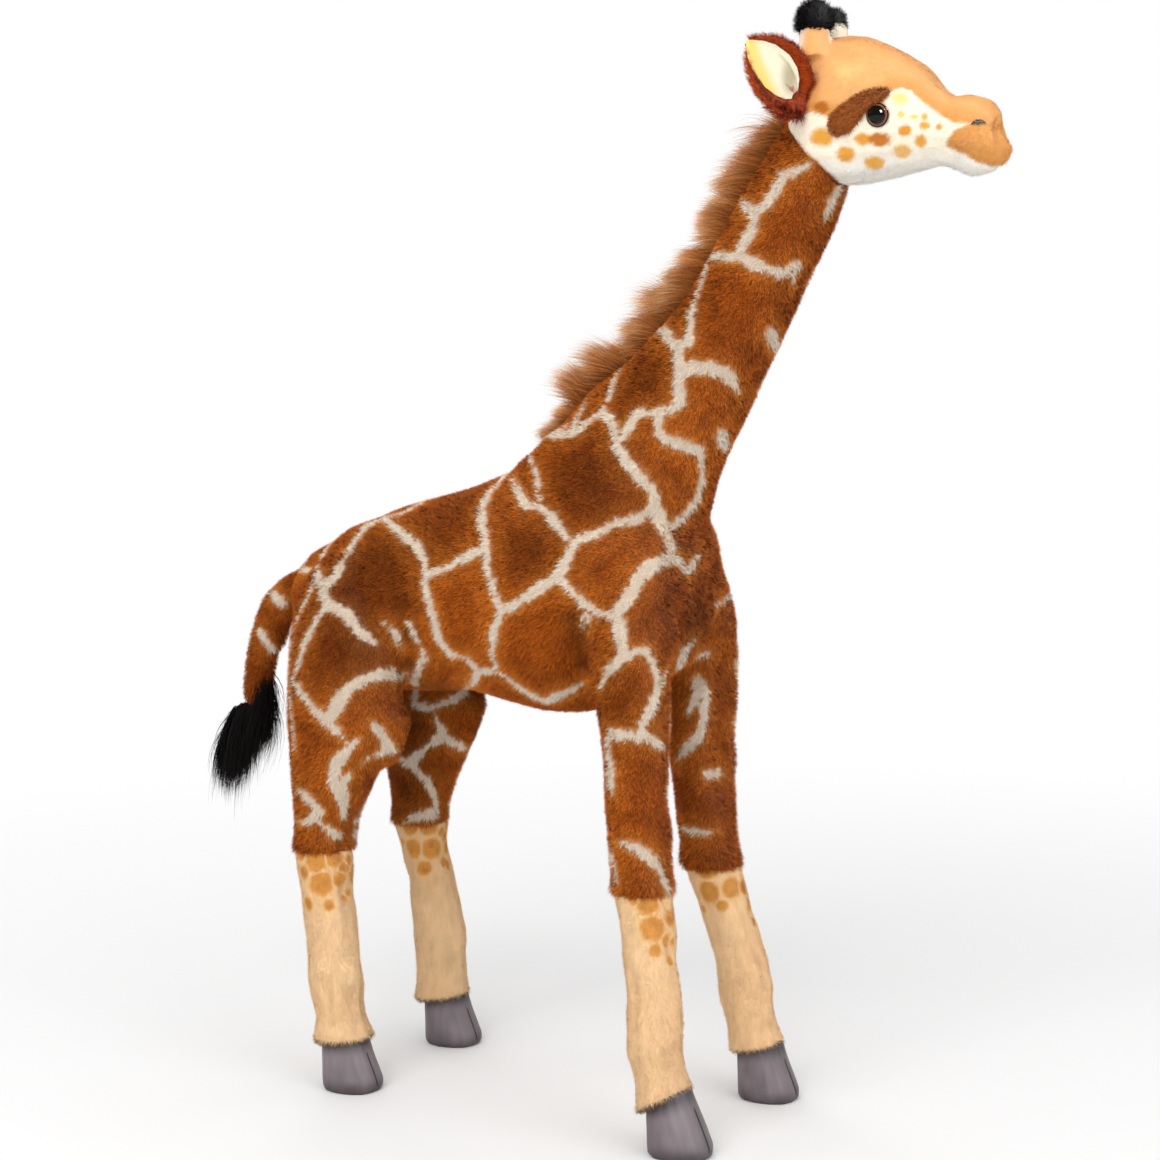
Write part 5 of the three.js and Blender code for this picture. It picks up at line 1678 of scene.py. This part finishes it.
class GIRAFFE_OT_mane(bpy.types.Operator):
    """Makes the mane's long hair along the back of the neck"""

    bl_idname = "giraffe.mane"
    bl_label = "Mane"

    def execute(self, context):
        hair = context.scene.giraffe_hair
        # Acrylic long-pile fur: fine golden hair with light tips that part into locks
        fur = pile_material("acrylic_fur_long_pile", 0.55, 0.06, "#FFDCA8", 0.16)
        neck = soft_form(["neck", "torso"], 4.0, 4).tree()
        dice = np.random.default_rng(301)
        share = dice.random(MANE_HAIRS) * 0.89 + 0.19
        side = dice.normal(0, 1, MANE_HAIRS).clip(-2, 2) * 5.4 * MM
        places, normals = [], []
        for t, y in zip(share, side):
            start = MANE_FOOT + (MANE_CROWN - MANE_FOOT) * t + NECK_BACK * 0.14
            hit = neck.ray_cast(Vector(start + np.array([0, y, 0])), Vector(-NECK_BACK))
            if hit[0] is not None:
                places.append(hit[0])
                normals.append(hit[1])
        places, normals = np.array(places), np.array(normals)
        count = len(places)
        places -= normals * (3.5 * MM)
        lock = wander(places, 0.008, 101)
        long = hair.mane_length * dice.uniform(0.4, 1.18, count)
        long = long * (1 + 0.42 * noise(places, 0.007, 107))
        run = ((places - MANE_FOOT) @ NECK_UP) / np.linalg.norm(MANE_CROWN - MANE_FOOT)
        long = long * np.interp(run, MANE_RUN, MANE_REACH)
        way = unit(NECK_BACK + normals * 0.30 + lock * 0.75 + dice.normal(0, 0.28, (count, 3)))
        steps = 4
        points = [places]
        for _ in range(steps):
            way = unit(way + np.array([-0.03, 0, -0.14]))
            points.append(points[-1] + way * (long * MM / steps)[:, None])
        middles = dice.permutation(count)[:MANE_LOCKS]
        points = gathered(np.stack(points, 1), middles, 0.60)
        pale = 0.8 + 0.35 * noise(places, 0.010, 109)
        dyes = []
        for s in np.linspace(0, 1, steps + 1):
            up = np.full(count, ramp(0.0, 0.45, s))
            dye = mixed(np.array(hair.mane_root) * 0.8, hair.mane, up)
            dyes.append(mixed(dye, hair.mane_tip, ramp(0.45, 1.0, s) * pale))
        tone = 1 + 0.32 * noise(places, 0.0032, 111) + dice.normal(0, 0.16, count)
        dyes = np.clip(np.stack(dyes, 1) * tone[:, None, None], 0, 1)
        wide = 0.30 * dice.uniform(*HAIR_SPREAD, count)
        out = [np.full(count, -0.2), np.sign(side[:count]) * 0.9, np.full(count, 0.3)]
        out = unit(np.stack(out, 1))
        pieces = hair_pieces(
            "mane_hair", "mane", points, out, wide, dyes, fur, HAIR_TWIST)
        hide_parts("mane")
        return {"FINISHED"}


class GIRAFFE_OT_tuft(bpy.types.Operator):
    """Makes the tail's black tuft"""

    bl_idname = "giraffe.tuft"
    bl_label = "Tail tuft"

    def execute(self, context):
        hair = context.scene.giraffe_hair
        # Acrylic hair, long and straight: near black, with a thin shine along it
        fur = pile_material("acrylic_hair_straight", 0.5, 0.01, "#7A7068", 0.08)
        dice = np.random.default_rng(311)
        top = np.array(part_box("tail_tuft")[1]) * [1, 0, 1] + np.array([-0.0170, 0, -0.0038])
        sideways = np.array([0, 1.0, 0])
        steps = 6
        bunches = []
        for count, axis, droop in TUFT_BUNCHES:
            axis = unit(np.array(axis))
            across = np.array([-axis[2], 0, axis[0]])
            angle = dice.uniform(0, 2 * math.pi, count)
            radius = np.sqrt(dice.random(count))
            u, v = np.cos(angle) * radius, np.sin(angle) * radius
            if axis[0] < 0:
                places = top + u[:, None] * np.array([0.0118, 0, 0.0044])
                places += v[:, None] * sideways * 0.008
                places += axis * dice.uniform(0, 0.026, count)[:, None]
            else:
                run = dice.random(count)[:, None]
                places = top + np.array([0.0155, 0, 0.0270]) - run * np.array([0.0075, 0, 0.0240])
                bulge = (v ** 2)[:, None] * np.array([0.002, 0, 0])
                places += v[:, None] * sideways * 0.0042 - bulge
                u = np.abs(u) * 0.7
            ring = unit(across * u[:, None] + sideways * v[:, None])
            spread = across * u[:, None] * 0.52 + sideways * v[:, None] * 0.34
            long = hair.tuft_length * (0.3 + 0.9 * dice.beta(1.5, 2.2, count))
            long = long * (1 + 0.3 * noise(places, 0.006, 117)) * (1.25 - 0.6 * radius)
            way = unit(axis + spread + dice.normal(0, 0.2, (count, 3)))
            points = [places]
            for _ in range(steps):
                way = unit(way - spread * 0.20 + np.array(droop))
                points.append(points[-1] + way * (long * MM / steps)[:, None])
            bunches.append((np.stack(points, 1), ring))
        points, ring = (np.concatenate([bunch[k] for bunch in bunches]) for k in (0, 1))
        count = len(points)
        points = gathered(points, dice.permutation(count)[:TUFT_LOCKS], 0.45)
        black = np.tile(hair.black, (count, 1)) * dice.uniform(0.6, 1.6, (count, 1))
        # Roots a little darker as painted shade, tips lighter as painted light
        dyes = shaded_hair_dyes(black, 0.9, 1.3, steps, dice, 0.15)
        wide = 0.45 * dice.uniform(*HAIR_SPREAD, count)
        pieces = hair_pieces(
            "tail_tuft_hair", "tail_tuft", points, ring, wide, dyes, fur, HAIR_TWIST)
        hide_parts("tail_tuft")
        return {"FINISHED"}


class GIRAFFE_OT_frame(bpy.types.Operator):
    """Gives the hidden wires, sole plates and washers their finishes"""

    bl_idname = "giraffe.frame"
    bl_label = "Hidden frame"

    def execute(self, context):
        # Galvanised steel wire, drawn: dull grey metal with fine scratches along it
        wire = cover(
            "galvanised_steel_wire_drawn", {"Base Color": linear("#A8ABAD"), "Metallic": 1.0},
            dyed=False, dullness=(0.32, 0.55),
            texture=("ShaderNodeTexNoise", None, {"Scale": 1 / (0.5 * MM), "Detail": 3.0}))
        # Polypropylene, injection moulded: white with a fine satin grain, for plates and washers
        plastic = cover(
            "polypropylene_moulded",
            {"Base Color": linear("#E6E4DE"), "Roughness": 0.45, "IOR": 1.49},
            dyed=False, relief=(0.2, 0.05),
            texture=("ShaderNodeTexNoise", None, {"Scale": 1 / (0.6 * MM)}))
        kinds = {"wire": wire, "sole_plate": plastic, "washer": plastic}
        for name, node in frame["nodes"].items():
            for kind, material in kinds.items():
                if kind in name:
                    node.data.materials.clear()
                    node.data.materials.append(material)
        return {"FINISHED"}


class GIRAFFE_OT_stage(bpy.types.Operator):
    """Makes the pale floor, the soft lamps and the camera"""

    bl_idname = "giraffe.stage"
    bl_label = "Stage"

    def execute(self, context):
        stage = context.scene.giraffe_stage
        # Paper, uncoated: a matt pale floor that fades to white far from the giraffe
        material, tree = new_material("matt_paper_floor")
        path = add(tree, "ShaderNodeLightPath")
        place = add(tree, "ShaderNodeTexCoord")
        far = add(tree, "ShaderNodeVectorMath", {"operation": "LENGTH"}, None, {
            "Vector": place.outputs["Object"],
        })
        fade = add(tree, "ShaderNodeMapRange", {"interpolation_type": "SMOOTHSTEP"}, {
            "From Min": 0.35, "From Max": 1.5,
        }, {"Value": far.outputs["Value"]})
        share = add(tree, "ShaderNodeMath", {"operation": "MULTIPLY"}, None, {
            0: path.outputs["Is Camera Ray"], 1: fade.outputs[0],
        })
        paper = add(tree, "ShaderNodeBsdfDiffuse", None, {"Color": (*stage.floor, 1)})
        white = add(tree, "ShaderNodeEmission", None, {"Color": (1, 1, 1, 1), "Strength": 1.0})
        mix = add(tree, "ShaderNodeMixShader", None, None, {
            0: share.outputs[0], 1: paper.outputs[0], 2: white.outputs[0],
        })
        add(tree, "ShaderNodeOutputMaterial", None, None, {"Surface": mix.outputs[0]})
        ground = np.array([(-8, -8, 0), (8, -8, 0), (8, 8, 0), (-8, 8, 0)], float)
        floor = put("floor", mesh_of("floor", ground, np.array([[0, 1, 2, 3]])), material)
        self.world(context, stage)
        for name, watts, size, place in (
            ("key", stage.key_watts, 1.6, (0.1, -1.9, 1.7)),
            ("fill", stage.fill_watts, 1.8, (1.9, -0.6, 1.3)),
            ("back", stage.fill_watts * 0.7, 1.5, (-1.5, 1.3, 1.6)),
        ):
            self.lamp(context, name, watts, size, place).visible_glossy = False
        # A lamp that shows only in shiny faces, for the highlight on the eyes
        glint = self.lamp(context, "glint", stage.key_watts * 11, 0.9, (1.98, -0.62, 1.94))
        glint.visible_diffuse = False
        lens = bpy.data.cameras.new("camera")
        lens.sensor_width = SENSOR_WIDTH
        lens.lens = PHOTO_LENS / PHOTO_WIDTH * SENSOR_WIDTH
        lens.sensor_fit = "HORIZONTAL"
        camera = bpy.data.objects.new("camera", lens)
        axes = Matrix([RIGHTWARD, UPWARD, BACKWARD]).transposed().to_4x4()
        camera.matrix_world = Matrix.Translation(Vector(CAMERA_PLACE)) @ axes
        context.scene.collection.objects.link(camera)
        context.scene.camera = camera
        context.scene.view_settings.view_transform = "Standard"
        return {"FINISHED"}

    def world(self, context, stage):
        """Even light from all round, which the camera sees as plain white and gloss sees dimmer."""
        world = bpy.data.worlds.new("studio")
        world.use_nodes = True
        tree = world.node_tree
        tree.nodes.clear()
        path = add(tree, "ShaderNodeLightPath")
        shine = add(tree, "ShaderNodeMapRange", None, {
            "To Min": stage.sky, "To Max": stage.sky * 0.3,
        }, {"Value": path.outputs["Is Glossy Ray"]})
        strength = add(tree, "ShaderNodeMath", {"operation": "MAXIMUM"}, None, {
            0: path.outputs["Is Camera Ray"], 1: shine.outputs["Result"],
        })
        room = add(tree, "ShaderNodeBackground", None, {"Color": (1, 1, 1, 1)}, {
            "Strength": strength.outputs[0],
        })
        add(tree, "ShaderNodeOutputWorld", None, None, {"Surface": room.outputs[0]})
        context.scene.world = world

    def lamp(self, context, name, watts, size, place):
        """A soft square lamp that points at the giraffe's middle."""
        light = bpy.data.lights.new(name, "AREA")
        light.energy = watts
        light.size = size
        lamp = bpy.data.objects.new(name, light)
        away = Vector(place) - Vector((0, 0, 0.38))
        turn = away.to_track_quat("Z", "Y").to_matrix().to_4x4()
        lamp.matrix_world = Matrix.Translation(Vector(place)) @ turn
        context.scene.collection.objects.link(lamp)
        return lamp


OPERATORS = (
    GIRAFFE_OT_stage,
    GIRAFFE_OT_coat,
    GIRAFFE_OT_head,
    GIRAFFE_OT_brows,
    GIRAFFE_OT_ears,
    GIRAFFE_OT_ossicones,
    GIRAFFE_OT_eyes,
    GIRAFFE_OT_mane,
    GIRAFFE_OT_tuft,
    GIRAFFE_OT_sleeves,
    GIRAFFE_OT_hooves,
    GIRAFFE_OT_frame,
)
GROUPS = {
    "giraffe_coat": GiraffeCoat,
    "giraffe_hair": GiraffeHair,
    "giraffe_face": GiraffeFace,
    "giraffe_legs": GiraffeLegs,
    "giraffe_eyes": GiraffeEyes,
    "giraffe_stage": GiraffeStage,
}


class GIRAFFE_PT_pieces(bpy.types.Panel):
    """Lists the pieces of the giraffe"""

    bl_idname = "GIRAFFE_PT_pieces"
    bl_label = "Plush giraffe"
    bl_space_type = "VIEW_3D"
    bl_region_type = "UI"
    bl_category = "Giraffe"

    def draw(self, context):
        for operator in OPERATORS:
            self.layout.operator(operator.bl_idname)
        for name, group in GROUPS.items():
            box = self.layout.box()
            for key in group.__annotations__:
                box.prop(getattr(context.scene, name), key)


def register():
    """Makes the properties, operators and panel known to Blender."""
    for name, group in GROUPS.items():
        bpy.utils.register_class(group)
        setattr(bpy.types.Scene, name, bpy.props.PointerProperty(type=group))
    for kind in OPERATORS + (GIRAFFE_PT_pieces,):
        bpy.utils.register_class(kind)


def unregister():
    """Takes them away again."""
    for kind in reversed(OPERATORS + (GIRAFFE_PT_pieces,)):
        bpy.utils.unregister_class(kind)
    for name, group in GROUPS.items():
        delattr(bpy.types.Scene, name)
        bpy.utils.unregister_class(group)


def main():
    """Builds every piece."""
    register()
    for operator in OPERATORS:
        area, name = operator.bl_idname.split(".")
        getattr(getattr(bpy.ops, area), name)()


if __name__ == "__main__":
    main()
